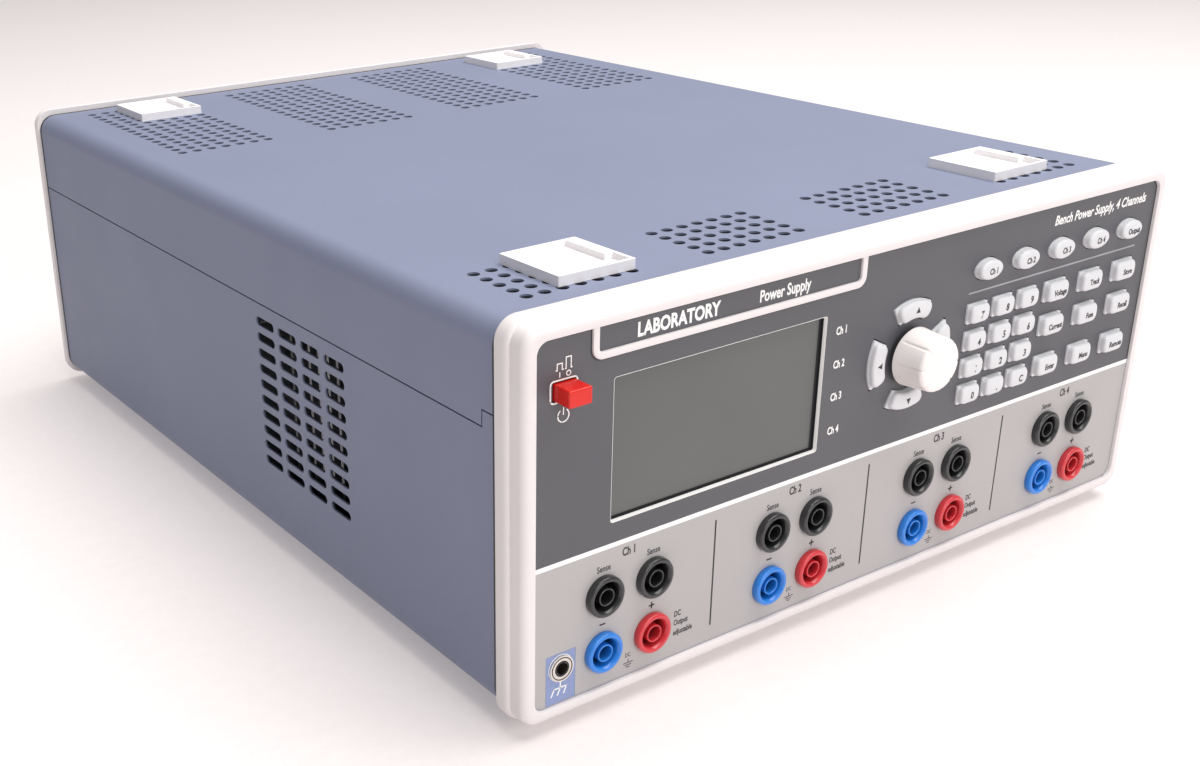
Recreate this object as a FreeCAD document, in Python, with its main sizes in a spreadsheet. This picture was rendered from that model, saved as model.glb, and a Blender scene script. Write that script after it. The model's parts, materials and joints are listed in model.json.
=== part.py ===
import FreeCAD, Part
import math
import os
import re

import Sketcher

# Bench power supply with four channels, in a 285 mm wide table-top case.
#
# Every piece is modelled with its own origin on the line where the fascia's
# front face meets the plane through the bottom of the white front frame:
# x runs to the right, y into the instrument and z up. finish() then places
# the piece so that the whole instrument stands on z = 0, centred on x = y = 0.

V = FreeCAD.Vector
X, Y, Z = V(1, 0, 0), V(0, 1, 0), V(0, 0, 1)

DIMENSIONS = {
    # front frame: a rear ring, and a slightly smaller tier in front of it
    "width": 285, "frame_height": 125, "ring_front": 5.2, "ring_back": 10.9, "ring_radius": 7,
    "tier_front": -1.2, "tier_side_step": 1.1, "tier_top_step": 1, "tier_round": 2.4,
    "opening_width": 274.2, "opening_low": 5.2, "opening_high": 119.9, "opening_radius": 3.8,
    "ledge": 4, "ledge_back": 5, "skirt_back": 19, "skirt_gap": 0.4,
    "tab_left": -117.9, "tab_right": -11.7, "tab_low": 110.3, "tab_rib": 2.2, "tab_proud": 0.8,
    # fascia
    "panel_thick": 3, "panel_gap": 0.3, "hole_gap": 0.3,
    # casing shells
    "cover_side": 141.4, "cover_top": 122.8, "cover_bottom": 2, "cover_front": 11.1,
    "cover_back": 357.5, "cover_wall": 1.2, "cover_radius": 7, "cover_low_radius": 7,
    "seam": 90.8, "seam_gap": 0.5, "seam_tab": 95.9, "seam_tab_back": 17.8,
    # round vents in the top: four groups, a short front block and a long rear block
    "vent_pitch": 6.36, "vent_radius": 1.95, "vent_columns": 7, "vent_front_rows": 5,
    "vent_rear_rows": 16, "vent_front_at": 24.85, "vent_rear_at": 250.5, "vent_group_pitch": 68,
    # slots in both sides
    "slot_length": 12.9, "slot_height": 3.3, "slot_columns": 4, "slot_rows": 10,
    "slot_front": 100.2, "slot_low": 31.6, "slot_column_pitch": 15.7, "slot_row_pitch": 5.86,
    # rear frame and rear panel
    "rear_gap": 1, "rear_back": 364, "rear_rim": 8.5, "rear_round": 2.5, "rear_seat": 2,
    "rear_panel_thick": 1.5, "rear_panel_gap": 0.3,
    # stacking trays and feet
    "tray_size": 28.4, "tray_x": 95.1, "tray_front_y": 39.7, "tray_rear_y": 331.5,
    "tray_floor": 1.2, "tray_top": 3.2, "tray_rim": 1.2, "tray_rib": 4.4, "tray_rib_length": 19.5,
    "tray_round": 0.4,
    "foot_size": 24, "foot_drop": 4, "foot_round": 3, "leg_width": 15, "leg_length": 18,
    "leg_thick": 2.4, "leg_axis_y": 8.5, "leg_axis_drop": 2.4, "leg_pin_radius": 1.2,
    "leg_gap": 0.4,
    # display
    "display_left": -109.8, "display_right": -26.6, "display_low": 59, "display_high": 103.8,
    "display_recess": 1.8, "display_margin": 4, "display_back": 11,
    # power button
    "power_x": -126.9, "power_z": 104.3, "power_width": 7.8, "power_height": 5,
    "power_proud": 7, "power_round": 0.5, "power_rod": 3, "power_rod_end": 13,
    "switch_width": 13, "switch_height": 14, "switch_front": 17, "switch_length": 24,
    # keys
    "key_flange": 1, "key_flange_front": 3.4, "key_flange_thick": 1, "key_back": 5.6,
    "channel_key_x": 46.7, "channel_key_pitch": 18.93, "channel_key_z": 104.6,
    "channel_key_width": 11.5, "channel_key_height": 7.2, "channel_key_proud": 3,
    "digit_x": 44.1, "digit_pitch": 12.75, "digit_z": 61.8, "digit_row_pitch": 9.47,
    "digit_width": 9.5, "digit_height": 6.8, "digit_proud": 2.7, "key_corner": 0.5,
    "function_x": 84.7, "function_pitch": 18.93, "function_width": 11, "function_height": 7.3,
    "function_proud": 3,
    "function_top_z": 89.8, "function_mid_z": 77.6, "function_low_z": 62.8,
    "key_round": 0.8,
    # arrow keys round the knob
    "arrow_inner": 12.2, "arrow_outer": 18.5, "arrow_angle": 54, "arrow_proud": 2.6,
    "arrow_round": 0.7,
    # knob and its encoder
    "knob_x": 11.9, "knob_z": 82.8, "knob_front_radius": 8.85, "knob_back": -2, "knob_front": -13.2,
    "knob_round": 1.5, "knob_cone": 4.3, "knob_grooves": 8, "groove_radius": 0.6,
    "groove_depth": 0.4, "groove_stop": -3.6,
    "knob_bore_front": -10.2, "shaft_radius": 3, "shaft_front": -10, "shaft_back": 5.8,
    "shaft_hole_gap": 0.8, "encoder_size": 13, "encoder_front": 4, "encoder_back": 8.8,
    "encoder_wall": 1, "plunger_radius": 4, "plunger_front": 6, "plunger_thick": 1.2,
    "cavity_radius": 4.4, "cavity_depth": 3.4,
    # control board behind the keys
    "board_front": 9, "board_thick": 1.6, "board_left": -21, "board_right": 133,
    "board_low": 54, "board_high": 112,
    # safety sockets
    "socket_x": -111.7, "socket_pair": 18.95, "socket_pitch": 67.7, "sense_z": 36.4,
    "output_z": 17.5, "flange_radius": 6.55, "flange_proud": 2.4, "flange_round": 0.9,
    "barrel_radius": 5.9, "barrel_back": 14, "well_radius": 4.8, "well_depth": 14,
    "tube_radius": 3.05, "tube_bore": 2.6, "sleeve_radius": 2.5, "sleeve_bore": 2,
    "sleeve_front": 3.6, "sleeve_back": 21.6,
    "earth_x": -127.1, "earth_z": 17.4, "earth_radius": 4.3, "earth_proud": 0.8,
    "earth_barrel": 3.4, "insert_left": -132.5, "insert_right": -121.6, "insert_high": 22.4,
    "insert_gap": 0.05,
    # inside
    "toroid_x": 55, "toroid_y": 230, "toroid_outer": 56, "toroid_inner": 20, "toroid_low": 3.2,
    "toroid_height": 52, "toroid_round": 9,
    "main_left": -70, "main_right": 132, "main_front": 40, "main_back": 160, "main_low": 12,
    "sink_x": -133.4, "sink_depth": 26, "sink_front": 92, "sink_length": 66, "sink_low": 3.2,
    "sink_height": 84, "sink_base": 4, "fin_thick": 1.6, "fin_pitch": 6.4, "fin_count": 11,
    "fan_x": -107, "fan_depth": 25, "fan_size": 80, "fan_y": 125, "fan_low": 3.2,
    "fan_duct_radius": 38, "fan_hub_radius": 16, "fan_strut": 3, "fan_blade_radius": 36.5,
    "fan_blades": 7, "fan_blade_thick": 1.6, "fan_blade_angle": 35,
    # mains inlet
    "inlet_x": 98, "inlet_z": 30, "inlet_width": 30, "inlet_height": 32, "inlet_flange": 2,
    "inlet_body_length": 26, "inlet_recess_width": 24.6, "inlet_recess_height": 16.6,
    "inlet_recess_depth": 16, "inlet_pin_width": 2,
    "inlet_pin_height": 4, "inlet_pin_length": 13, "inlet_pin_pitch": 7, "inlet_pin_offset": 2,
    # rear connectors
    "block_x": -96, "block_pitch": 44, "block_z": 93, "block_width": 36, "block_height": 11,
    "block_proud": 4, "block_depth": 14, "block_poles": 8, "pole_pitch": 4.2, "pole_size": 2.6,
    "module_x": -64, "module_z": 30, "module_width": 112, "module_height": 32,
    # screws
    "screw_head": 2.9, "screw_head_height": 1.8, "screw_radius": 1.4, "screw_length": 5,
    "screw_hole": 1.7,
}
SIZE = dict(DIMENSIONS)
SIZE["stand"] = SIZE["foot_drop"]
SIZE["fascia_y"] = -(SIZE["knob_front"] + SIZE["rear_back"]) / 2

document = FreeCAD.newDocument("bench_power_supply")
parts = []


def make_sheet():
    """Write every driving dimension into a spreadsheet, one named cell each."""
    sheet = document.addObject("Spreadsheet::Sheet", "dims")
    for row, (alias, value) in enumerate(SIZE.items(), start=1):
        sheet.set(f"A{row}", alias)
        sheet.set(f"B{row}", f"{value:g}")
        sheet.setAlias(f"B{row}", alias)
    document.recompute()


def formula(text):
    """Turn "width / 2" into the sheet reference "dims.width / 2"."""
    return re.sub(r"[a-z][a-z_]+", lambda word: "dims." + word.group(), str(text))


def number(text):
    """The number that a formula of sheet names comes to."""
    return float(document.dims.evalExpression(formula(text)))


def bind(thing, **formulas):
    """Bind properties to formulas of sheet names. Double underscores stand for dots."""
    for name, text in formulas.items():
        thing.setExpression(name.replace("__", "."), formula(text))
    return thing


def move(thing, x=0, y=0, z=0):
    return bind(thing, Placement__Base__x=x, Placement__Base__y=y, Placement__Base__z=z)


def finish(thing, label, x=0, y=0, z=0):
    """Name a sub-part and place it, with x, y and z measured from the fascia's datum."""
    move(thing, x, f"({y}) + fascia_y", f"({z}) + stand")
    thing.Label = label
    parts.append(thing)
    return thing


# ---------------------------------------------------------------- primitives

def box(x_range, y_range, z_range):
    """A box between pairs of formulas."""
    block = document.addObject("Part::Box", "box")
    bind(block, Length=f"({x_range[1]}) - ({x_range[0]})", Width=f"({y_range[1]}) - ({y_range[0]})",
         Height=f"({z_range[1]}) - ({z_range[0]})")
    return move(block, x_range[0], y_range[0], z_range[0])


def centred(x, y_range, z, wide, tall):
    """A box centred on x and z."""
    return box((f"{x} - ({wide}) / 2", f"{x} + ({wide}) / 2"), y_range,
               (f"{z} - ({tall}) / 2", f"{z} + ({tall}) / 2"))


TURNS = {"x": FreeCAD.Rotation(Y, 90), "y": FreeCAD.Rotation(X, -90), "z": FreeCAD.Rotation()}


def rod(axis, radius, span, across=("0", "0"), angle=360, start=0):
    """A cylinder along x, y or z, or a slice of it that begins at the start angle."""
    cylinder = document.addObject("Part::Cylinder", "rod")
    cylinder.Placement.Rotation = TURNS[axis].multiply(FreeCAD.Rotation(Z, start))
    bind(cylinder, Radius=radius, Height=f"({span[1]}) - ({span[0]})", Angle=angle)
    place = list(across)
    place.insert("xyz".index(axis), span[0])
    return move(cylinder, *place)


def oval(wide, tall, length):
    """An elliptical prism along y, centred on the y axis and starting at y = 0."""
    outline = document.addObject("Part::Ellipse", "outline")
    bind(outline, MajorRadius=f"({wide}) / 2", MinorRadius=f"({tall}) / 2")
    outline.Placement.Rotation = FreeCAD.Rotation(X, 90)
    prism = document.addObject("Part::Extrusion", "oval")
    prism.Base = outline
    prism.DirMode = "Custom"
    prism.Dir = Y
    prism.Solid = True
    return bind(prism, LengthFwd=length)


def fuse(shapes):
    joined = document.addObject("Part::MultiFuse", "fuse")
    joined.Shapes = shapes
    return joined


def group(shapes):
    """Separate solids that share one node."""
    together = document.addObject("Part::Compound", "group")
    together.Links = shapes
    return together


def cut(base, tools):
    """The base without the tools. At least one tool is given."""
    removed = document.addObject("Part::Cut", "cut")
    removed.Base = base
    removed.Tool = tools[0] if len(tools) == 1 else fuse(tools)
    return removed


def feature(shape):
    """A shape made with Part's own functions."""
    plain = document.addObject("Part::Feature", "shape")
    plain.Shape = shape
    return plain


def rounded(base, radius, wanted):
    """The base with a fillet on each edge that the test wants."""
    document.recompute()
    fillet = document.addObject("Part::Fillet", "fillet")
    fillet.Base = base
    fillet.Edges = [(number, radius, radius)
                    for number, edge in enumerate(base.Shape.Edges, start=1) if wanted(edge)]
    return fillet


# ---------------------------------------------------------------- part design

def new_body(name):
    return document.addObject("PartDesign::Body", name)


def origin_of(body, role):
    return next(item for item in body.Origin.OriginFeatures if item.Role == role)


def new_sketch(body, plane, offset=0):
    """A sketch on one of the body's own planes. On XZ the offset runs along +y, so into the case."""
    sketch = body.newObject("Sketcher::SketchObject", "sketch")
    sketch.AttachmentSupport = [(origin_of(body, plane), "")]
    sketch.MapMode = "FlatFace"
    sign = "-" if plane == "XZ_Plane" else ""
    bind(sketch, AttachmentOffset__Base__z=f"{sign}({offset})")
    return sketch


def limit(sketch, kind, *where, value):
    """Add a dimension to a sketch and bind it to a formula."""
    index = sketch.addConstraint(Sketcher.Constraint(kind, *where, number(value)))
    sketch.setExpression(f"Constraints[{index}]", formula(value))


def draw_rectangle(sketch, low, high, radius=None):
    """A rectangle between two corners, each a pair of formulas, with round corners if wanted."""
    left, bottom, right, top = (number(text) for text in (*low, *high))
    inset = number(radius) if radius else 0
    count = sketch.GeometryCount
    ends = [((left + inset, bottom), (right - inset, bottom)),
            ((right, bottom + inset), (right, top - inset)),
            ((right - inset, top), (left + inset, top)),
            ((left, top - inset), (left, bottom + inset))]
    centres = [(right - inset, bottom + inset), (right - inset, top - inset),
               (left + inset, top - inset), (left + inset, bottom + inset)]
    for start, end in ends:
        sketch.addGeometry(Part.LineSegment(V(*start, 0), V(*end, 0)))
    for side in range(4):
        line, following = count + side, count + (side + 1) % 4
        if radius:
            quarter = math.pi / 2
            circle = Part.Circle(V(*centres[side], 0), Z, inset)
            arc = sketch.addGeometry(
                Part.ArcOfCircle(circle, (side - 1) * quarter, side * quarter))
            sketch.addConstraint(Sketcher.Constraint("Tangent", line, 2, arc, 1))
            sketch.addConstraint(Sketcher.Constraint("Tangent", arc, 2, following, 1))
            limit(sketch, "Radius", arc, value=radius)
        else:
            sketch.addConstraint(Sketcher.Constraint("Coincident", line, 2, following, 1))
        direction = "Vertical" if side % 2 else "Horizontal"
        sketch.addConstraint(Sketcher.Constraint(direction, line))
    limit(sketch, "DistanceX", -1, 1, count + 3, 1, value=low[0])
    limit(sketch, "DistanceY", -1, 1, count, 1, value=low[1])
    limit(sketch, "DistanceX", -1, 1, count + 1, 1, value=high[0])
    limit(sketch, "DistanceY", -1, 1, count + 2, 1, value=high[1])


def draw_circle(sketch, radius, centre=("0", "0")):
    """A circle with its radius and centre bound."""
    circle = sketch.addGeometry(Part.Circle(V(*map(number, centre), 0), Z, number(radius)))
    limit(sketch, "Radius", circle, value=radius)
    limit(sketch, "DistanceX", -1, 1, circle, 3, value=centre[0])
    limit(sketch, "DistanceY", -1, 1, circle, 3, value=centre[1])


def pad(body, sketch, length, inwards=True):
    """Extrude a sketch, on XZ inwards along +y unless told otherwise."""
    solid = body.newObject("PartDesign::Pad", "pad")
    solid.Profile = sketch
    solid.Reversed = inwards
    bind(solid, Length=length)
    body.Tip = solid
    return solid


def pocket(body, sketch, length=None, reverse=False, both_ways=False):
    """Remove a sketch's prism, right through unless a length is given, and see that it cuts."""
    document.recompute()
    before = body.Shape.Volume
    hollow = body.newObject("PartDesign::Pocket", "pocket")
    hollow.Profile = sketch
    hollow.Reversed = reverse
    if length is None:
        hollow.Type = 1
        hollow.Midplane = both_ways
    else:
        bind(hollow, Length=length)
    body.Tip = hollow
    document.recompute()
    if body.Shape.Volume > before - 0.1:
        raise RuntimeError(f"pocket in {body.Name} cuts nothing")
    return hollow


def soften(body, radius, wanted):
    """Fillet the edges of the body so far that the test wants."""
    document.recompute()
    base = body.Tip
    names = [f"Edge{number}" for number, edge in enumerate(base.Shape.Edges, start=1)
             if wanted(edge)]
    fillet = body.newObject("PartDesign::Fillet", "fillet")
    fillet.Base = (base, names)
    bind(fillet, Radius=radius)
    body.Tip = fillet
    return fillet


def runs_along(axis):
    """A test for straight edges in one direction."""
    def test(edge):
        straight = len(edge.Vertexes) == 2 and isinstance(edge.Curve, Part.Line)
        return straight and edge.tangentAt(edge.FirstParameter).cross(axis).Length < 1e-6
    return test


def lies_at(value, axis="y"):
    """A test for edges that lie in one plane across x, y or z."""
    number = "xyz".index(axis)

    def test(edge):
        bounds = edge.BoundBox
        low = (bounds.XMin, bounds.YMin, bounds.ZMin)[number]
        high = (bounds.XMax, bounds.YMax, bounds.ZMax)[number]
        return abs(low - value) < 1e-3 and abs(high - value) < 1e-3
    return test


def both(first, second):
    """A test that wants both of two tests."""
    return lambda edge: first(edge) and second(edge)


make_sheet()

# ---------------------------------------------------------------- front frame and fascia

def make_front_frame():
    """White moulding: a rear ring, a smaller tier in front, a skirt inside the covers."""
    body = new_body("front_frame_body")
    tier = new_sketch(body, "XZ_Plane", "tier_front")
    draw_rectangle(tier, ("-width / 2 + tier_side_step", "tier_top_step"),
                   ("width / 2 - tier_side_step", "frame_height - tier_top_step"),
                   "ring_radius - tier_side_step")
    pad(body, tier, "ring_back - tier_front")
    soften(body, "tier_round", lies_at(number("tier_front")))

    def outside_tier(edge):
        side = number("width / 2 - tier_side_step") + 0.1
        low = number("tier_top_step") - 0.1
        high = number("frame_height - tier_top_step") + 0.1
        return all(abs(point.X) > side or not low < point.Z < high for point in edge.Vertexes)

    ring = new_sketch(body, "XZ_Plane", "ring_front")
    draw_rectangle(ring, ("-width / 2", "0"), ("width / 2", "frame_height"), "ring_radius")
    pad(body, ring, "ring_back - ring_front")
    soften(body, "tier_top_step * 0.8", both(lies_at(number("ring_front")), outside_tier))

    skirt = new_sketch(body, "XZ_Plane", "ring_back")
    inset = "cover_wall + skirt_gap"
    draw_rectangle(skirt, (f"-cover_side + {inset}", f"cover_bottom + {inset}"),
                   (f"cover_side - ({inset})", f"cover_top - ({inset})"),
                   f"cover_radius - ({inset})")
    pad(body, skirt, "skirt_back - ring_back")

    low, high = ("-opening_width / 2", "opening_low"), ("opening_width / 2", "opening_high")
    seat = new_sketch(body, "XZ_Plane", "tier_front")
    draw_rectangle(seat, low, high, "opening_radius")
    pocket(body, seat, "panel_thick - tier_front")
    through = new_sketch(body, "XZ_Plane", "tier_front")
    draw_rectangle(through, ("-opening_width / 2 + ledge", "opening_low + ledge"),
                   ("opening_width / 2 - ledge", "opening_high - ledge"))
    pocket(body, through)
    back = new_sketch(body, "XZ_Plane", "ledge_back")
    draw_rectangle(back, low, high, "opening_radius")
    pocket(body, back)

    tab = new_sketch(body, "XZ_Plane", "-tab_proud")
    draw_rectangle(tab, ("tab_left", "tab_low"), ("tab_right", "opening_high + 1"))
    pad(body, tab, "tab_proud")
    hangs = both(runs_along(Y), lambda edge: abs(edge.BoundBox.YMin + number("tab_proud")) < 0.1
                 and edge.BoundBox.ZMax < number("tab_low") + 3)
    soften(body, "tab_rib * 1.6", hangs)
    field = new_sketch(body, "XZ_Plane", "-tab_proud")
    draw_rectangle(field, ("tab_left + tab_rib", "tab_low + tab_rib"),
                   ("tab_right - tab_rib", "opening_high - 0.01"), "tab_rib * 0.6")
    pocket(body, field, "tab_proud")
    finish(body, "front_frame")


def sector(inner, outer, y_range, angle, middle):
    """A slice of a ring round the knob's axis, its middle at an angle from +x towards +z."""
    start = -middle - SIZE["arrow_angle"] / 2 - (angle != "arrow_angle") * 1.5
    whole = rod("y", outer, y_range, angle=angle, start=start)
    return cut(whole, [rod("y", inner, (f"({y_range[0]}) - 1", f"({y_range[1]}) + 1"))])


CHANNEL_KEYS = ["key_ch1", "key_ch2", "key_ch3", "key_ch4", "key_output"]
DIGIT_KEYS = [["key_0", "key_point", "key_clear"], ["key_1", "key_2", "key_3"],
              ["key_4", "key_5", "key_6"], ["key_7", "key_8", "key_9"]]
FUNCTION_KEYS = {"function_top_z": ["key_voltage", "key_track", "key_store"],
                 "function_mid_z": ["key_current", "key_fuse", "key_recall"],
                 "function_low_z": ["key_enter", "key_menu", "key_remote"]}
ARROW_KEYS = {"key_right": 0, "key_up": 90, "key_left": 180, "key_down": 270}


def key_places():
    """Yield each key's label, kind and centre."""
    for column, label in enumerate(CHANNEL_KEYS):
        yield label, "channel_key", f"channel_key_x + {column} * channel_key_pitch", "channel_key_z"
    for row, labels in enumerate(DIGIT_KEYS):
        for column, label in enumerate(labels):
            yield (label, "digit", f"digit_x + {column} * digit_pitch",
                   f"digit_z + {row} * digit_row_pitch")
    for height, labels in FUNCTION_KEYS.items():
        for column, label in enumerate(labels):
            yield label, "function", f"function_x + {column} * function_pitch", height


def socket_places():
    """Yield each socket's kind and centre: a sense pair above an output pair, four times."""
    for channel in range(4):
        left = f"socket_x + {channel} * socket_pitch"
        right = f"{left} + socket_pair"
        yield "sense", left, "sense_z"
        yield "sense", right, "sense_z"
        yield "negative", left, "output_z"
        yield "positive", right, "output_z"


def make_front_panel():
    """Fascia plate with its openings, in the front frame's seat.

    The earth socket has an insert of its own, let into the plate's lower edge.
    """
    through = ("-1", "panel_thick + 1")
    plate = rounded(box(("-opening_width / 2 + panel_gap", "opening_width / 2 - panel_gap"),
                        ("0", "panel_thick"),
                        ("opening_low + panel_gap", "opening_high - panel_gap")),
                    SIZE["opening_radius"] - SIZE["panel_gap"], runs_along(Y))
    holes = [rounded(box(("display_left", "display_right"), through, ("display_low", "display_high")),
                     1, runs_along(Y)),
             centred("power_x", through, "power_z", "power_width + 2 * hole_gap",
                     "power_height + 2 * hole_gap"),
             rod("y", "shaft_radius + shaft_hole_gap", through, ("knob_x", "knob_z")),
             box(("insert_left", "insert_right"), through, ("opening_low", "insert_high"))]
    for label, kind, x, z in key_places():
        wide, tall = f"{kind}_width + 2 * hole_gap", f"{kind}_height + 2 * hole_gap"
        if kind == "channel_key":
            holes.append(move(oval(wide, tall, "panel_thick + 2"), x, -1, z))
        else:
            holes.append(rounded(centred(x, through, z, wide, tall), SIZE["key_corner"],
                                 runs_along(Y)))
    for middle in ARROW_KEYS.values():
        hole = sector("arrow_inner - hole_gap", "arrow_outer + hole_gap", through,
                      "arrow_angle + 3", middle)
        holes.append(move(hole, "knob_x", "0", "knob_z"))
    for kind, x, z in socket_places():
        holes.append(rod("y", "barrel_radius + hole_gap / 3", through, (x, z)))
    insert = box(("insert_left + insert_gap", "insert_right - insert_gap"), ("0", "panel_thick"),
                 ("opening_low + panel_gap", "insert_high - insert_gap"))
    bush_hole = rod("y", "earth_barrel + hole_gap / 3", through, ("earth_x", "earth_z"))
    finish(group([cut(plate, holes), cut(insert, [bush_hole])]), "front_panel")


def make_display():
    """Display module: a box behind the fascia with its glass raised into the opening."""
    module = box(("display_left - display_margin", "display_right + display_margin"),
                 ("panel_thick + hole_gap", "display_back"),
                 ("display_low - display_margin", "display_high + display_margin"))
    glass = box(("display_left + hole_gap", "display_right - hole_gap"),
                ("display_recess", "panel_thick + 1"),
                ("display_low + hole_gap", "display_high - hole_gap"))
    finish(fuse([module, glass]), "display_module")


def make_oval_key(label, x, z):
    """An oval key cap and a flange that keeps it behind the fascia."""
    cap = oval("channel_key_width", "channel_key_height", "channel_key_proud + key_back")
    cap = rounded(move(cap, y="-channel_key_proud"), SIZE["key_round"],
                  lies_at(-SIZE["channel_key_proud"]))
    flange = oval("channel_key_width + 2 * key_flange", "channel_key_height + 2 * key_flange",
                  "key_flange_thick")
    finish(fuse([cap, move(flange, y="key_flange_front")]), label, x, 0, z)


def make_key(label, kind, x, z):
    """A key cap with rounded corners and a flange that keeps it behind the fascia."""
    body = new_body(label + "_body")
    cap = new_sketch(body, "XZ_Plane", f"-{kind}_proud")
    draw_rectangle(cap, (f"-{kind}_width / 2", f"-{kind}_height / 2"),
                   (f"{kind}_width / 2", f"{kind}_height / 2"), "key_corner")
    pad(body, cap, f"{kind}_proud + key_back")
    soften(body, "key_round", lies_at(-SIZE[f"{kind}_proud"]))
    flange = new_sketch(body, "XZ_Plane", "key_flange_front")
    draw_rectangle(flange, (f"-{kind}_width / 2 - key_flange", f"-{kind}_height / 2 - key_flange"),
                   (f"{kind}_width / 2 + key_flange", f"{kind}_height / 2 + key_flange"))
    pad(body, flange, "key_flange_thick")
    finish(body, label, x, 0, z)


def make_arrow_key(label, middle):
    """A curved key that follows the knob's edge."""
    cap = sector("arrow_inner", "arrow_outer", ("-arrow_proud", "key_back"), "arrow_angle", middle)
    cap = rounded(cap, SIZE["key_corner"], runs_along(Y))
    cap = rounded(cap, SIZE["arrow_round"], lies_at(-SIZE["arrow_proud"]))
    finish(cap, label, "knob_x", 0, "knob_z")


def make_power_button():
    """Rectangular push button with a rod back to the mains switch."""
    cap = centred("0", ("-power_proud", "key_back"), "0", "power_width", "power_height")
    cap = rounded(cap, SIZE["power_round"], lambda edge: edge.BoundBox.YMin < SIZE["key_back"] - 0.1)
    stem = centred("0", ("key_back - 1", "power_rod_end"), "0", "power_rod", "power_rod")
    finish(fuse([cap, stem]), "power_button", "power_x", 0, "power_z")

    housing = centred("0", ("switch_front", "switch_front + switch_length"), "0", "switch_width",
                      "switch_height")
    finish(rounded(housing, 1, runs_along(Y)), "power_switch_body", "power_x", 0, "power_z")


def make_knob():
    """Grooved conical knob on the encoder's shaft, with the plunger that the shaft pushes."""
    body = new_body("knob_body")
    disc = new_sketch(body, "XZ_Plane", "knob_front")
    draw_circle(disc, "knob_front_radius")
    bind(pad(body, disc, "knob_back - knob_front"), TaperAngle="knob_cone")
    soften(body, "knob_round", lies_at(SIZE["knob_front"]))
    bore = new_sketch(body, "XZ_Plane", "knob_back")
    draw_circle(bore, "shaft_radius + 0.05")
    pocket(body, bore, "knob_back - knob_bore_front", reverse=True)
    groove = new_sketch(body, "XZ_Plane", "knob_front")
    draw_circle(groove, "groove_radius", ("0", "knob_front_radius + groove_radius - groove_depth"))
    first = pocket(body, groove, "groove_stop - knob_front")
    ring = body.newObject("PartDesign::PolarPattern", "grooves")
    ring.Originals = [first]
    ring.Axis = (origin_of(body, "Y_Axis"), [""])
    ring.Angle = 360
    bind(ring, Occurrences="knob_grooves")
    body.Tip = ring
    finish(body, "knob", "knob_x", 0, "knob_z")

    finish(rod("y", "shaft_radius", ("shaft_front", "shaft_back")), "encoder_shaft",
           "knob_x", "shaft_front", "knob_z")
    finish(rod("y", "plunger_radius", ("plunger_front", "plunger_front + plunger_thick")),
           "encoder_plunger", "knob_x", "plunger_front", "knob_z")
    housing = centred("0", ("encoder_front", "encoder_back"), "0", "encoder_size", "encoder_size")
    cavity = rod("y", "cavity_radius", ("encoder_front + encoder_wall",
                                        "encoder_front + encoder_wall + cavity_depth"))
    mouth = rod("y", "shaft_radius + 0.3", ("encoder_front - 1", "encoder_front + 2 * encoder_wall"))
    finish(cut(housing, [cavity, mouth]), "encoder_body", "knob_x", 0, "knob_z")


def make_sockets():
    """Insulated safety sockets, each a flange, a barrel, an annular well and an inner tube."""
    flange = rounded(rod("y", "flange_radius", ("-flange_proud", "0")), SIZE["flange_round"],
                     lies_at(-SIZE["flange_proud"]))
    shell = fuse([flange, rod("y", "barrel_radius", ("-0.5", "barrel_back"))])
    well = cut(rod("y", "well_radius", ("-flange_proud - 1", "well_depth - flange_proud")),
               [rod("y", "tube_radius", ("-flange_proud - 2", "well_depth"))])
    master = cut(shell, [well, rod("y", "tube_bore", ("-flange_proud - 1", "barrel_back + 1"))])
    sleeve = cut(rod("y", "sleeve_radius", ("sleeve_front", "sleeve_back")),
                 [rod("y", "sleeve_bore", ("sleeve_front - 1", "sleeve_back + 1"))])
    document.recompute()

    copies = {"sense": [], "negative": [], "positive": []}
    sleeves = []
    for kind, x, z in socket_places():
        place = V(number(x), 0, number(z))
        copies[kind].append(master.Shape.translated(place))
        sleeves.append(sleeve.Shape.translated(place))
    for kind, solids in copies.items():
        finish(feature(Part.makeCompound(solids)), kind + "_sockets")

    bush = fuse([rod("y", "earth_radius", ("-earth_proud", "0")),
                 rod("y", "earth_barrel", ("-0.1", "barrel_back"))])
    bore = rod("y", "sleeve_bore", ("-earth_proud - 1", "barrel_back + 1"))
    earth = move(cut(bush, [bore]), "earth_x", 0, "earth_z")
    finish(group([feature(Part.makeCompound(sleeves)), earth]), "contact_sleeves")


# ---------------------------------------------------------------- casing

def shell(name, low, high, open_up, radius):
    """A U-shaped sheet along y between two heights, open at the top or at the bottom."""
    body = new_body(name)
    outline = new_sketch(body, "XZ_Plane", "cover_front")
    draw_rectangle(outline, ("-cover_side", low), ("cover_side", high))
    pad(body, outline, "cover_back - cover_front")
    closed = number(low) if open_up else number(high)
    soften(body, radius, both(runs_along(Y), lies_at(closed, "z")))
    inside = new_sketch(body, "XZ_Plane", "cover_front")
    floor, ceiling = f"{low} - {radius}", f"{high} - cover_wall"
    if open_up:
        floor, ceiling = f"{low} + cover_wall", f"{high} + {radius}"
    draw_rectangle(inside, ("-cover_side + cover_wall", floor), ("cover_side - cover_wall", ceiling),
                   f"{radius} - cover_wall")
    pocket(body, inside)
    return body


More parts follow.
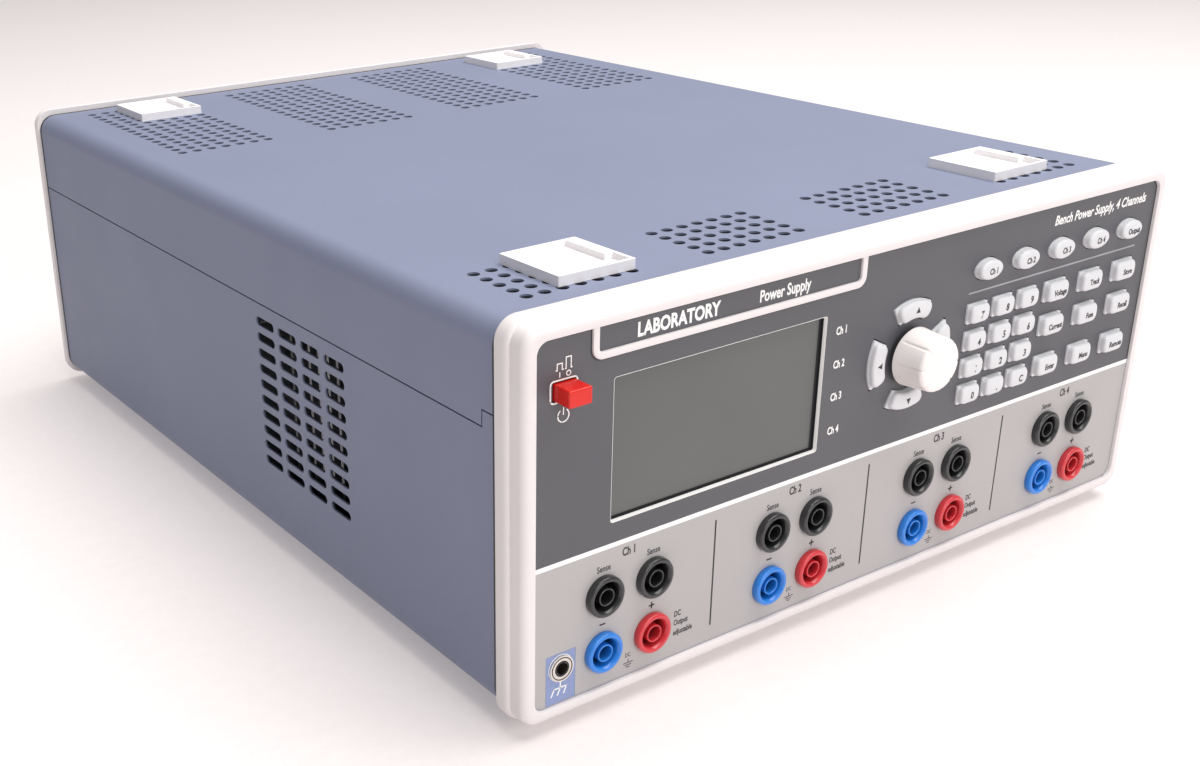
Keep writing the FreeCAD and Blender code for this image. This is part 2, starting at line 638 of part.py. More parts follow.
def make_top_cover():
    """Upper shell with its round vents, and a notch over each tab of the lower shell."""
    body = shell("top_shell", "seam + seam_gap", "cover_top", False, "cover_radius")
    notch = box(("-cover_side - 1", "cover_side + 1"),
                ("cover_front - 1", "seam_tab_back + seam_gap"), ("seam", "seam_tab + seam_gap"))
    drill = Part.makeCylinder(number("vent_radius"), 4 * number("cover_wall"),
                              V(0, 0, number("cover_top - 2 * cover_wall")))
    pitch = number("vent_pitch")
    rows = [number("vent_front_at") + row * pitch for row in range(SIZE["vent_front_rows"])]
    rows += [number("vent_rear_at") + row * pitch for row in range(SIZE["vent_rear_rows"])]
    drills = []
    for block in range(4):
        middle = (block - 1.5) * number("vent_group_pitch")
        for column in range(SIZE["vent_columns"]):
            x = middle + (column - (SIZE["vent_columns"] - 1) / 2) * pitch
            drills += [drill.translated(V(x, y, 0)) for y in rows]
    finish(cut(cut(body, [notch]), [feature(Part.makeCompound(drills))]), "top_cover")


def make_bottom_cover():
    """Lower shell with slotted vents in both sides and a tab at the front of each side."""
    body = shell("bottom_shell", "cover_bottom", "seam", True, "cover_low_radius")
    tabs = [box((side, f"{side} + cover_wall"), ("cover_front", "seam_tab_back"),
                ("seam - 1", "seam_tab")) for side in ("-cover_side", "cover_side - cover_wall")]
    length, height = number("slot_length"), number("slot_height")
    reach = number("cover_side") + 1
    bar = Part.makeBox(2 * reach, length - height, height, V(-reach, -(length - height) / 2,
                                                            -height / 2))
    ends = [Part.makeCylinder(height / 2, 2 * reach, V(-reach, side * (length - height) / 2, 0), X)
            for side in (-1, 1)]
    slot = bar.fuse(ends).removeSplitter()
    slots = []
    for column in range(SIZE["slot_columns"]):
        for row in range(SIZE["slot_rows"]):
            y = number("slot_front") + column * number("slot_column_pitch")
            z = number("slot_low") + row * number("slot_row_pitch")
            slots.append(slot.translated(V(0, y, z)))
    finish(cut(fuse([body, *tabs]), [feature(Part.makeCompound(slots))]), "bottom_cover")


REAR_FRONT = "cover_back + rear_gap"
PANEL_FRONT = "cover_back + rear_gap + rear_panel_gap"
PANEL_BACK = "cover_back + rear_gap + rear_panel_gap + rear_panel_thick"


def make_rear_frame():
    """White ring at the back edge, with a seat for the rear panel."""
    body = new_body("rear_frame_body")
    ring = new_sketch(body, "XZ_Plane", REAR_FRONT)
    draw_rectangle(ring, ("-width / 2", "0"), ("width / 2", "frame_height"), "ring_radius")
    pad(body, ring, f"rear_back - ({REAR_FRONT})")
    soften(body, "rear_round", lies_at(number("rear_back")))
    opening = new_sketch(body, "XZ_Plane", REAR_FRONT)
    draw_rectangle(opening, ("-width / 2 + rear_rim", "rear_rim"),
                   ("width / 2 - rear_rim", "frame_height - rear_rim"), "rear_rim / 2")
    pocket(body, opening)
    seat = new_sketch(body, "XZ_Plane", REAR_FRONT)
    draw_rectangle(seat, ("-width / 2 + rear_rim / 2", "rear_rim / 2"),
                   ("width / 2 - rear_rim / 2", "frame_height - rear_rim / 2"), "rear_rim")
    pocket(body, seat, "rear_seat")
    finish(body, "rear_frame")


def rear_screw_places():
    """Screw centres on the rear panel: four corners and two in the middle."""
    for x in ("-width / 2 + 2 * rear_rim", "0", "width / 2 - 2 * rear_rim"):
        for z in ("2 * rear_rim", "frame_height - 2 * rear_rim"):
            yield x, z


def make_rear_panel():
    """Sheet-metal back wall with its cut-outs and screws."""
    through = (f"{PANEL_FRONT} - 1", f"{PANEL_BACK} + 1")
    plate = rounded(box(("-width / 2 + rear_rim / 2 + rear_panel_gap",
                         "width / 2 - rear_rim / 2 - rear_panel_gap"),
                        (PANEL_FRONT, PANEL_BACK),
                        ("rear_rim / 2 + rear_panel_gap",
                         "frame_height - rear_rim / 2 - rear_panel_gap")),
                    number("rear_rim"), runs_along(Y))
    holes = [centred("inlet_x", through, "inlet_z", "inlet_width - 1.4", "inlet_height - 1.4"),
             centred("module_x", through, "module_z", "module_width - 8", "module_height - 8")]
    for channel in range(4):
        holes.append(centred(f"block_x + {channel} * block_pitch", through, "block_z",
                             "block_width + 0.4", "block_height + 0.4"))
    for x, z in rear_screw_places():
        holes.append(rod("y", "screw_hole", through, (x, z)))
    finish(cut(plate, holes), "rear_panel")


def make_screws():
    """Six pan-head screws that hold the rear panel."""
    screws = []
    for x, z in rear_screw_places():
        head = rounded(rod("y", "screw_head", (PANEL_BACK, f"{PANEL_BACK} + screw_head_height"),
                           (x, z)), 0.8, lies_at(number(f"{PANEL_BACK} + screw_head_height")))
        stem = rod("y", "screw_radius", (f"{PANEL_BACK} - screw_length", f"{PANEL_BACK} + 0.1"),
                   (x, z))
        screws.append(fuse([head, stem]))
    finish(group(screws), "screws")


def tray_places():
    for x in ("-tray_x", "tray_x"):
        for y in ("tray_front_y", "tray_rear_y"):
            yield x, y


def make_trays():
    """Four square trays on the top, each with a rim and a thick rib along its right side."""
    trays = []
    for x, y in tray_places():
        half = "tray_size / 2"
        base = rounded(box((f"{x} - {half}", f"{x} + {half}"), (f"{y} - {half}", f"{y} + {half}"),
                           ("cover_top", "cover_top + tray_top")), number("tray_round"),
                       runs_along(Z))
        inner = box((f"{x} - {half} + tray_rim", f"{x} + {half} - tray_rib"),
                    (f"{y} - {half} + tray_rim", f"{y} + {half} - tray_rim"),
                    ("cover_top + tray_floor", "cover_top + tray_top + 1"))
        corner = box((f"{x} + {half} - tray_rib - 1", f"{x} + {half} - tray_rim"),
                     (f"{y} - {half} + tray_rim", f"{y} + {half} - tray_rib_length"),
                     ("cover_top + tray_floor", "cover_top + tray_top + 1"))
        trays.append(cut(base, [inner, corner]))
    finish(group(trays), "stacking_trays")


def make_feet():
    """Four feet that fit the trays. The front two hold a folding leg each."""
    feet = []
    half = "foot_size / 2"
    for x, y in tray_places():
        foot = rounded(box((f"{x} - {half}", f"{x} + {half}"), (f"{y} - {half}", f"{y} + {half}"),
                           ("-foot_drop", "cover_bottom")), number("foot_round"), runs_along(Z))
        foot = rounded(foot, 0.8, lies_at(-number("foot_drop"), "z"))
        if y == "tray_front_y":
            side = "leg_width / 2 + leg_gap"
            slot = box((f"{x} - ({side})", f"{x} + {side}"),
                       (f"{y} - leg_axis_y - leg_thick", f"{y} + {half} + 1"),
                       ("-foot_drop - 1", "cover_bottom - 0.8"))
            pin = rod("x", "leg_pin_radius", (f"{x} - ({side}) - 0.5", f"{x} + {side} + 0.5"),
                      (f"{y} - leg_axis_y", "cover_bottom - leg_axis_drop - 0.6"))
            foot = fuse([cut(foot, [slot]), pin])
        feet.append(foot)
    finish(group(feet), "feet")


def make_tilt_leg(label, x):
    """A leg that lies flat in its foot, on the foot's pin, and folds down to 95 degrees."""
    side = "leg_width / 2"
    barrel = rod("x", "leg_thick / 2 + 0.6", (f"-{side}", side))
    plate = box((f"-{side}", side), ("0", "leg_length"), ("-leg_thick / 2", "leg_thick / 2"))
    plate = rounded(plate, 1.1, both(runs_along(X), lambda edge: edge.CenterOfMass.y > 1))
    hole = rod("x", "leg_pin_radius + 0.1", (f"-{side} - 1", f"{side} + 1"))
    finish(cut(fuse([barrel, plate]), [hole]), label, x, "tray_front_y - leg_axis_y",
           "cover_bottom - leg_axis_drop - 0.6")


# ---------------------------------------------------------------- inside and back

def make_control_board():
    """Circuit board behind the keys and the encoder."""
    board = box(("board_left", "board_right"), ("board_front", "board_front + board_thick"),
                ("board_low", "board_high"))
    finish(board, "control_board", "board_left", "board_front", "board_low")


def make_transformer():
    """Toroidal mains transformer, standing on the floor."""
    span = ("toroid_low", "toroid_low + toroid_height")
    ring = cut(rod("z", "toroid_outer", span, ("toroid_x", "toroid_y")),
               [rod("z", "toroid_inner", ("toroid_low - 1", "toroid_low + toroid_height + 1"),
                    ("toroid_x", "toroid_y"))])
    ring = rounded(ring, number("toroid_round"), lambda edge: edge.Closed
                   and edge.BoundBox.ZLength < 1e-3)
    finish(ring, "transformer")


def make_main_board():
    """Power board on posts, with a row of capacitors."""
    top = "main_low + board_thick"
    pieces = [box(("main_left", "main_right"), ("main_front", "main_back"), ("main_low", top))]
    for x in ("main_left + 8", "main_right - 8"):
        for y in ("main_front + 8", "main_back - 8"):
            pieces.append(rod("z", "3", ("cover_bottom + cover_wall", "main_low + 0.1"), (x, y)))
    for can in range(6):
        pieces.append(rod("z", "11", ("main_low + 1", "main_low + 40"),
                          (f"main_left + 30 + {can} * 30", "main_front + 30")))
    finish(fuse(pieces), "main_board")


def make_heat_sink():
    """Finned heat sink behind the left vents."""
    body = new_body("heat_sink_body")
    base = new_sketch(body, "XZ_Plane", "sink_front")
    draw_rectangle(base, ("sink_x + sink_depth - sink_base", "sink_low"),
                   ("sink_x + sink_depth", "sink_low + sink_height"))
    pad(body, base, "sink_length")
    fin = new_sketch(body, "XZ_Plane", "sink_front")
    draw_rectangle(fin, ("sink_x", "sink_low"),
                   ("sink_x + sink_depth - sink_base + 1", "sink_low + sink_height"))
    first = pad(body, fin, "fin_thick")
    row = body.newObject("PartDesign::LinearPattern", "fins")
    row.Originals = [first]
    row.Direction = (origin_of(body, "Y_Axis"), [""])
    bind(row, Occurrences="fin_count", Length="fin_pitch * (fin_count - 1)")
    body.Tip = row
    finish(body, "heat_sink")


def make_fan():
    """Axial fan behind the heat sink: a square frame with a hub on struts, and its rotor."""
    end = "fan_x + fan_depth"
    middle = "fan_low + fan_size / 2"
    frame = box(("fan_x", end), ("fan_y - fan_size / 2", "fan_y + fan_size / 2"),
                ("fan_low", "fan_low + fan_size"))
    duct = rod("x", "fan_duct_radius", ("fan_x - 1", f"{end} + 1"), ("fan_y", middle))
    hub = rod("x", "fan_hub_radius", (f"{end} - fan_strut", end), ("fan_y", middle))
    struts = [box((f"{end} - fan_strut", end), ("fan_y - fan_size / 2 + 1", "fan_y + fan_size / 2 - 1"),
                  (f"{middle} - fan_strut / 2", f"{middle} + fan_strut / 2")),
              box((f"{end} - fan_strut", end), ("fan_y - fan_strut / 2", "fan_y + fan_strut / 2"),
                  ("fan_low + 1", "fan_low + fan_size - 1"))]
    finish(fuse([cut(frame, [duct]), hub, *struts]), "fan_frame")

    spin = [rod("x", "fan_hub_radius", ("1", "fan_depth - fan_strut - 1"))]
    for blade in range(SIZE["fan_blades"]):
        plate = document.addObject("Part::Box", "blade")
        bind(plate, Length="fan_depth - fan_strut - 7", Width="fan_blade_thick",
             Height="fan_blade_radius - fan_hub_radius + 2")
        turn = FreeCAD.Rotation(X, blade * 360 / SIZE["fan_blades"])
        pitch = FreeCAD.Rotation(Z, -SIZE["fan_blade_angle"])
        corner = V(-number("fan_depth - fan_strut - 7") / 2, -number("fan_blade_thick") / 2,
                   number("fan_hub_radius") - 2)
        centre = V(number("fan_depth - fan_strut") / 2, 0, 0)
        plate.Placement = (FreeCAD.Placement(centre, turn)
                           * FreeCAD.Placement(V(), pitch) * FreeCAD.Placement(corner, FreeCAD.Rotation()))
        spin.append(plate)
    finish(fuse(spin), "fan_rotor", "fan_x", "fan_y", middle)


def make_mains_inlet():
    """Mains socket: a shroud of four walls with a flange, a back block and three pins."""
    mouth = f"{PANEL_BACK} + inlet_flange"
    floor = f"{mouth} - inlet_recess_depth"
    hole = ("inlet_recess_width / 2", "inlet_recess_height / 2")
    pieces = [centred("inlet_x", (f"{PANEL_BACK} - inlet_body_length", floor), "inlet_z",
                      "inlet_width - 2", "inlet_height - 2")]
    for y_range, margin in (((floor, PANEL_BACK), 1), ((PANEL_BACK, mouth), 0)):
        side, rise = f"inlet_width / 2 - {margin}", f"inlet_height / 2 - {margin}"
        for sign in (-1, 1):
            edges = sorted((f"inlet_x + ({sign}) * ({side})", f"inlet_x + ({sign}) * {hole[0]}"),
                           key=number)
            pieces.append(box(edges, y_range, (f"inlet_z - ({rise})", f"inlet_z + {rise}")))
            edges = sorted((f"inlet_z + ({sign}) * ({rise})", f"inlet_z + ({sign}) * {hole[1]}"),
                           key=number)
            pieces.append(box((f"inlet_x - {hole[0]}", f"inlet_x + {hole[0]}"), y_range, edges))
    for side, rise in ((-1, -1), (1, -1), (0, 1)):
        pieces.append(centred(f"inlet_x + {side} * inlet_pin_pitch",
                              (floor, f"{floor} + inlet_pin_length"),
                              f"inlet_z + {rise} * inlet_pin_offset", "inlet_pin_width",
                              "inlet_pin_height"))
    finish(group(pieces), "mains_inlet")


def make_rear_connectors():
    """Four eight-pole terminal blocks and the plug-in interface with its plate."""
    pieces = []
    for channel in range(4):
        middle = f"block_x + {channel} * block_pitch"
        block = centred(middle, (f"{PANEL_BACK} - block_depth", f"{PANEL_BACK} + block_proud - 0.6"),
                        "block_z", "block_width", "block_height")
        slots = [centred(f"{middle} + ({pole} - (block_poles - 1) / 2) * pole_pitch",
                         (f"{PANEL_BACK} + block_proud - 4", f"{PANEL_BACK} + block_proud"),
                         "block_z", "pole_size", "pole_size * 2")
                 for pole in range(SIZE["block_poles"])]
        pieces.append(cut(block, slots))
    pieces.append(rounded(centred("module_x", (PANEL_BACK, f"{PANEL_BACK} + 1.5"), "module_z",
                                  "module_width", "module_height"), 2, runs_along(Y)))
    finish(group(pieces), "rear_connectors")


def check_and_write():
    """Stop at any failed object, then write one file for each sub-part."""
    document.recompute()
    for item in document.Objects:
        if "Invalid" in item.State or "Error" in item.State:
            users = [user.Label for user in item.InListRecursive]
            raise RuntimeError(f"{item.Name} failed: {item.State}, used by {users}")
    os.makedirs("parts", exist_ok=True)
    for part in parts:
        shape = part.Shape
        if shape.isNull() or not shape.isValid() or not shape.Solids:
            raise RuntimeError(f"{part.Label} has no valid solid")
        shape.exportStep(f"parts/{part.Label}.step")
        print(f"{part.Label}: {len(shape.Solids)} solid(s), {shape.Volume / 1000:.2f} cm3")


make_front_frame()
make_front_panel()
make_display()
for name, family, across, height in key_places():
    if family == "channel_key":
        make_oval_key(name, across, height)
    else:
        make_key(name, family, across, height)
for name, direction in ARROW_KEYS.items():
    make_arrow_key(name, direction)
make_power_button()
make_knob()
make_sockets()
make_top_cover()
make_bottom_cover()
make_rear_frame()
make_rear_panel()
make_screws()
make_trays()
make_feet()
make_tilt_leg("tilt_leg_left", "-tray_x")
make_tilt_leg("tilt_leg_right", "tray_x")
make_control_board()
make_transformer()
make_main_board()
make_heat_sink()
make_fan()
make_mains_inlet()
make_rear_connectors()
check_and_write()
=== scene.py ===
import json
import math

import bmesh
import bpy
from mathutils import Matrix, Vector


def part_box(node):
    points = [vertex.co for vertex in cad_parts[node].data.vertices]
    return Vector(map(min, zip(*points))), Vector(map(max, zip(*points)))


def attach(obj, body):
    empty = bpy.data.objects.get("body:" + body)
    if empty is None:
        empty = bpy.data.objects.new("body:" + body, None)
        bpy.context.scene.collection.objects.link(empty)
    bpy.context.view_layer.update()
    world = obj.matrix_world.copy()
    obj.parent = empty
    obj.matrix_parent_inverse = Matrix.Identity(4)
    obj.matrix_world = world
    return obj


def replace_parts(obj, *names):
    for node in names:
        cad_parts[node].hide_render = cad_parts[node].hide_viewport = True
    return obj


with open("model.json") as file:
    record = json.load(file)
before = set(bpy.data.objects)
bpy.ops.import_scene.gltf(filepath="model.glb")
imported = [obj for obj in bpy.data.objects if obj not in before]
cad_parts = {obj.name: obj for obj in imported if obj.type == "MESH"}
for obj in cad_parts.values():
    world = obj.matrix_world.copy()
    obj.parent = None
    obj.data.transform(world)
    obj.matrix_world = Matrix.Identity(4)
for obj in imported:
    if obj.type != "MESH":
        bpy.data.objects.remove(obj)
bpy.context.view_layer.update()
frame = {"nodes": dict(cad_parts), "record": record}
NODES = frame["nodes"]
MM = 0.001

# Places below are in millimetres: x right from the middle, y into the case from the fascia's front
# face, z up from the bottom of the white frame.
FASCIA_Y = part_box("front_panel")[0].y
FRAME_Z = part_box("front_frame")[0].z


def at(x, y, z):
    """A point in the row frame, in metres, from millimetres at the fascia's datum."""
    return Vector((x * MM, FASCIA_Y + y * MM, FRAME_Z + z * MM))


# ---------------------------------------------------------------- materials

def colour(red, green, blue):
    """Linear colour from 8-bit screen values."""
    def linear(value):
        value /= 255
        return value / 12.92 if value <= 0.04045 else ((value + 0.055) / 1.055) ** 2.4
    return tuple(linear(value) for value in (red, green, blue)) + (1,)


def shade(tone, factor):
    return tuple(min(1, channel * factor) for channel in tone[:3]) + (1,)


class Finish:
    """A Principled material built from object-space noise."""

    def __init__(self, name, roughness=0.5, metallic=0, specular=0.5):
        self.material = bpy.data.materials.new(name)
        self.material.use_nodes = True
        self.tree = self.material.node_tree
        self.shader = self.tree.nodes["Principled BSDF"]
        self.shader.inputs["Roughness"].default_value = roughness
        self.shader.inputs["Metallic"].default_value = metallic
        self.shader.inputs["Specular IOR Level"].default_value = specular
        self.place = self.node("ShaderNodeTexCoord").outputs["Object"]
        self.height = None

    def node(self, kind, **values):
        made = self.tree.nodes.new(kind)
        for name, value in values.items():
            setattr(made, name, value)
        return made

    def link(self, start, end):
        self.tree.links.new(start, end)

    def noise(self, size_mm, detail=2):
        """Noise whose features are about that size."""
        made = self.node("ShaderNodeTexNoise")
        made.inputs["Scale"].default_value = 1 / (size_mm * MM)
        made.inputs["Detail"].default_value = detail
        self.link(self.place, made.inputs["Vector"])
        return made.outputs["Fac"]

    def cell_edges(self, size_mm):
        """Distance to the nearest edge between cells of about that size."""
        made = self.node("ShaderNodeTexVoronoi", feature="DISTANCE_TO_EDGE")
        made.inputs["Scale"].default_value = 1 / (size_mm * MM)
        self.link(self.place, made.inputs["Vector"])
        return made.outputs["Distance"]

    def ramp(self, source, stops):
        """Colours along a source, from (position, colour) stops."""
        made = self.node("ShaderNodeValToRGB")
        points = made.color_ramp.elements
        while len(points) < len(stops):
            points.new(0.5)
        for point, (where, tone) in zip(points, stops):
            point.position = where
            point.color = tone
        self.link(source, made.inputs["Fac"])
        return made.outputs["Color"]

    def mix(self, factor, first, second, blend="MIX"):
        """Mix two colours. Each may be a socket or a plain colour, and so may the factor."""
        made = self.node("ShaderNodeMix", data_type="RGBA", blend_type=blend)
        for index, value in ((0, factor), (6, first), (7, second)):
            if isinstance(value, bpy.types.NodeSocket):
                self.link(value, made.inputs[index])
            else:
                made.inputs[index].default_value = value
        return made.outputs[2]

    def vary(self, base, size_mm, spread=0.06, speck_mm=None, speck=0.05):
        """Colour the surface with soft clouding, and with fine specks if wanted."""
        soft = self.ramp(self.noise(size_mm, 3), [(0.3, shade(base, 1 - spread)),
                                                  (0.7, shade(base, 1 + spread))])
        if speck_mm:
            grain = self.ramp(self.noise(speck_mm, 1), [(0.35, (1 - speck,) * 3 + (1,)),
                                                        (0.65, (1, 1, 1, 1))])
            soft = self.mix(1.0, soft, grain, "MULTIPLY")
        self.paint(soft)
        return self

    def paint(self, socket):
        self.link(socket, self.shader.inputs["Base Color"])

    def painted(self):
        """The socket that colours the surface so far."""
        return self.shader.inputs["Base Color"].links[0].from_socket

    def gloss(self, size_mm, low, high):
        """Let the roughness wander between two values."""
        made = self.node("ShaderNodeMapRange")
        made.inputs["To Min"].default_value = low
        made.inputs["To Max"].default_value = high
        self.link(self.noise(size_mm, 3), made.inputs["Value"])
        self.link(made.outputs["Result"], self.shader.inputs["Roughness"])
        return self

    def bump(self, source, distance_mm, strength=1.0):
        """Add relief. Several reliefs stack."""
        made = self.node("ShaderNodeBump")
        made.inputs["Strength"].default_value = strength
        made.inputs["Distance"].default_value = distance_mm * MM
        self.link(source, made.inputs["Height"])
        if self.height:
            self.link(self.height, made.inputs["Normal"])
        self.height = made.outputs["Normal"]
        self.link(self.height, self.shader.inputs["Normal"])
        return self

    def set(self, **values):
        """Set plain values on the shader, with _ for the blanks in a socket's name."""
        for name, value in values.items():
            self.shader.inputs[name.replace("_", " ")].default_value = value
        return self


def grained(name, base, grain_mm=0.5, depth_mm=0.02, roughness=(0.42, 0.55), clouds_mm=60,
            spread=0.03, specular=0.5):
    """Moulded or coated surface: fine grain, faint clouding, uneven gloss."""
    made = Finish(name, specular=specular)
    made.vary(base, clouds_mm, spread, grain_mm * 0.8, 0.04)
    made.gloss(clouds_mm * 0.3, *roughness)
    made.bump(made.noise(grain_mm, 2), depth_mm)
    return made


PAINT = colour(120, 126, 150)
WHITE = colour(228, 221, 221)


def powder_coat(name):
    made = grained(name, PAINT, 0.45, 0.02, (0.48, 0.6), 90, 0.025)
    made.bump(made.noise(2.4, 2), 0.03, 0.35)
    return made


casing_paint = powder_coat("casing_powder_coat")
COVER_ROUND, COVER_WALL = 7, 1.2


def line_inside(finish, node, tone):
    """Paint shade on a folded cover's inside, in the middle of its sheet and round its long edges
    too.
    """
    low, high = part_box(node)
    middle, half = (low + high) / 2, (high - low) / 2
    core = Vector((half.x - COVER_ROUND * MM, 0, half.z * 2 - COVER_ROUND * MM))

    def step(operation, first, second=(0, 0, 0)):
        made = finish.node("ShaderNodeVectorMath", operation=operation)
        finish.link(first, made.inputs[0])
        made.inputs[1].default_value = second
        return made.outputs[0]

    base = Vector((middle.x, 0, low.z if node == "top_cover" else high.z))
    offset = step("ABSOLUTE", step("SUBTRACT", finish.place, base))
    beyond = step("MULTIPLY", step("MAXIMUM", step("SUBTRACT", offset, core)), (1, 0, 1))
    reach = finish.node("ShaderNodeVectorMath", operation="LENGTH")
    finish.link(beyond, reach.inputs[0])
    inner = finish.node("ShaderNodeMath", operation="LESS_THAN")
    finish.link(reach.outputs["Value"], inner.inputs[0])
    inner.inputs[1].default_value = (COVER_ROUND - COVER_WALL / 2) * MM
    finish.paint(finish.mix(inner.outputs[0], finish.painted(), tone))


def dim_inside(finish, front, back, share):
    """Darken a finish between two depths at the fascia, as light fades in a well."""
    split = finish.node("ShaderNodeSeparateXYZ")
    finish.link(finish.place, split.inputs[0])
    depth = finish.node("ShaderNodeMapRange")
    depth.inputs["From Min"].default_value = FASCIA_Y + front * MM
    depth.inputs["From Max"].default_value = FASCIA_Y + back * MM
    finish.link(split.outputs["Y"], depth.inputs["Value"])
    surface = finish.painted()
    dimmed = finish.mix(1.0, surface, (share, share, share, 1), "MULTIPLY")
    finish.paint(finish.mix(depth.outputs["Result"], surface, dimmed))


white_plastic = grained("white_moulding", WHITE, 0.3, 0.012, (0.38, 0.5), 40, 0.015)
tray_plastic = grained("tray_moulding", colour(240, 236, 237), 0.3, 0.012, (0.38, 0.5), 12,
                       0.015)
key_rubber = grained("key_rubber", colour(213, 213, 216), 0.22, 0.006, (0.34, 0.44), 8, 0.012)
key_rubber.set(Subsurface_Weight=0.12, Subsurface_Scale=0.002)
key_rubber.shader.inputs["Subsurface Radius"].default_value = (1, 0.8, 0.7)
knob_plastic = grained("knob_plastic", colour(240, 233, 231), 0.25, 0.008, (0.32, 0.42), 12, 0.01)
foil_dark = grained("foil_dark", colour(84, 84, 89), 0.35, 0.012, (0.4, 0.5), 50, 0.02)
foil_light = grained("foil_light", colour(175, 171, 171), 0.35, 0.012, (0.4, 0.5), 50, 0.015)
foil_lilac = grained("foil_lilac", colour(134, 148, 190), 0.35, 0.012, (0.4, 0.5), 20, 0.015)
# Near-black: the fascia's cut edges, and painted shade in the joints, the display's walls and
# strips and the earth bush.
foil_edge_and_painted_shade = grained("foil_edge_and_painted_shade", colour(28, 28, 31), 0.3, 0.008, (0.5, 0.6), 30, 0.02)
trim_and_painted_highlight = grained("display_trim_and_highlight", colour(226, 224, 222), 0.25, 0.006, (0.3, 0.4), 20, 0.01)
ink_white = grained("ink_white", colour(245, 244, 242), 0.2, 0.003, (0.5, 0.6), 15, 0.01)
# The dark and grey inks also paint the shadows in the fascia's joints.
ink_dark_and_shadow = grained("ink_dark_and_shadow", colour(46, 45, 48), 0.2, 0.003, (0.5, 0.6), 15, 0.03)
ink_grey_and_shadow = grained("ink_grey_and_shadow", colour(160, 160, 166), 0.2, 0.003, (0.5, 0.6), 15, 0.02)
red_plastic = grained("red_button", colour(214, 26, 14), 0.25, 0.006, (0.28, 0.38), 8, 0.04)
black_plastic = grained("black_moulding", colour(34, 34, 36), 0.3, 0.01, (0.42, 0.52), 15, 0.05)
socket_black = grained("socket_black", colour(37, 37, 39), 0.25, 0.006, (0.26, 0.36), 8, 0.04)
socket_blue = grained("socket_blue", colour(36, 124, 214), 0.25, 0.006, (0.26, 0.36), 8, 0.03)
socket_red = grained("socket_red", colour(206, 48, 56), 0.25, 0.006, (0.26, 0.36), 8, 0.03)
for socket_finish in (socket_black, socket_blue, socket_red):
    dim_inside(socket_finish, -1.2, 3, 0.3)
    socket_finish.set(Coat_Weight=0.3, Coat_Roughness=0.15)
grey_rubber = grained("foot_rubber", colour(92, 94, 98), 0.6, 0.03, (0.6, 0.75), 10, 0.05)
connector_plastic = grained("connector_plastic", colour(40, 44, 42), 0.3, 0.01, (0.4, 0.5), 12,
                            0.05)


def metal(name, base, roughness, scratch_mm=0.25, stretch=(1, 14, 1), depth_mm=0.004):
    """Plain metal with fine drawn or turned marks."""
    made = Finish(name, metallic=1)
    mapping = made.node("ShaderNodeMapping")
    mapping.inputs["Scale"].default_value = stretch
    made.link(made.place, mapping.inputs["Vector"])
    made.place = mapping.outputs["Vector"]
    made.vary(base, 12, 0.05, scratch_mm, 0.08)
    made.gloss(3, *roughness)
    made.bump(made.noise(scratch_mm, 3), depth_mm)
    return made


nickel = metal("nickel_plate", colour(226, 222, 216), (0.16, 0.3))
steel = metal("zinc_plate", colour(190, 192, 194), (0.25, 0.4))
aluminium = metal("extruded_aluminium", colour(196, 197, 200), (0.32, 0.45), 0.3, (1, 1, 0.1))

display_glass = Finish("display_glass", 0.3, specular=0.45)
display_glass.vary(colour(87, 89, 88), 30, 0.03, 0.4, 0.03)
display_glass.gloss(25, 0.26, 0.34)
display_glass.bump(display_glass.noise(0.12, 1), 0.002)
display_glass.set(Coat_Weight=0.25, Coat_Roughness=0.22)

circuit_board = Finish("circuit_board", 0.4)
tracks = circuit_board.ramp(circuit_board.cell_edges(3.2),
                            [(0, colour(60, 120, 70)), (0.09, colour(60, 120, 70)),
                             (0.11, colour(20, 82, 44)), (1, colour(16, 70, 38))])
circuit_board.paint(tracks)
circuit_board.bump(circuit_board.noise(0.8, 2), 0.02)

winding = Finish("copper_winding", 0.35, metallic=0.2)
winding.paint(winding.ramp(winding.noise(3), [(0.3, colour(120, 72, 24)),
                                              (0.7, colour(196, 140, 60))]))
winding.bump(winding.noise(1.2, 2), 0.15)

SLOT_FINISH = {
    "white_plastic": white_plastic, "key_plastic": key_rubber, "fascia": foil_dark,
    "display": display_glass, "red_plastic": red_plastic, "black_plastic": black_plastic,
    "grey_plastic": grey_rubber, "connector_plastic": connector_plastic,
    "socket_black": socket_black, "socket_blue": socket_blue, "socket_red": socket_red,
    "nickel": nickel, "casing_paint": casing_paint, "rear_steel": casing_paint, "steel": steel,
    "aluminium": aluminium, "circuit_board": circuit_board, "winding": winding,
}
SLOT_OF = {part["node"]: part["material_slot"] for part in frame["record"]["subparts"]}
for name, node in NODES.items():
    node.data.materials.clear()
    node.data.materials.append(SLOT_FINISH[SLOT_OF[name]].material)
# The covers' insides are coloured dark as painted shade inside the case.
for name in ("top_cover", "bottom_cover"):
    inside_shaded_coat = powder_coat(name + "_coat")
    line_inside(inside_shaded_coat, name, colour(52, 54, 60))
    NODES[name].data.materials[0] = inside_shaded_coat.material
NODES["stacking_trays"].data.materials[0] = tray_plastic.material
BODY_OF = {node: body for body, nodes in frame["record"]["behaviour"]["bodies"].items()
           for node in nodes}


# ---------------------------------------------------------------- mesh tools

def clean(bm, distance_mm=0.004):
    """Merge points that meet and turn the faces outward."""
    bmesh.ops.remove_doubles(bm, verts=bm.verts, dist=distance_mm * MM)
    bmesh.ops.recalc_face_normals(bm, faces=bm.faces)


def make_piece(name, bm, finishes, body, slot, sharp=35):
    """Turn a bmesh in row-frame metres into a piece that rides on a body."""
    mesh = bpy.data.meshes.new(name)
    bm.to_mesh(mesh)
    bm.free()
    for finish in finishes:
        mesh.materials.append(finish.material)
    mesh.shade_smooth()
    mesh.set_sharp_from_angle(angle=math.radians(sharp))
    piece = bpy.data.objects.new(name, mesh)
    bpy.context.scene.collection.objects.link(piece)
    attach(piece, body)
    return piece


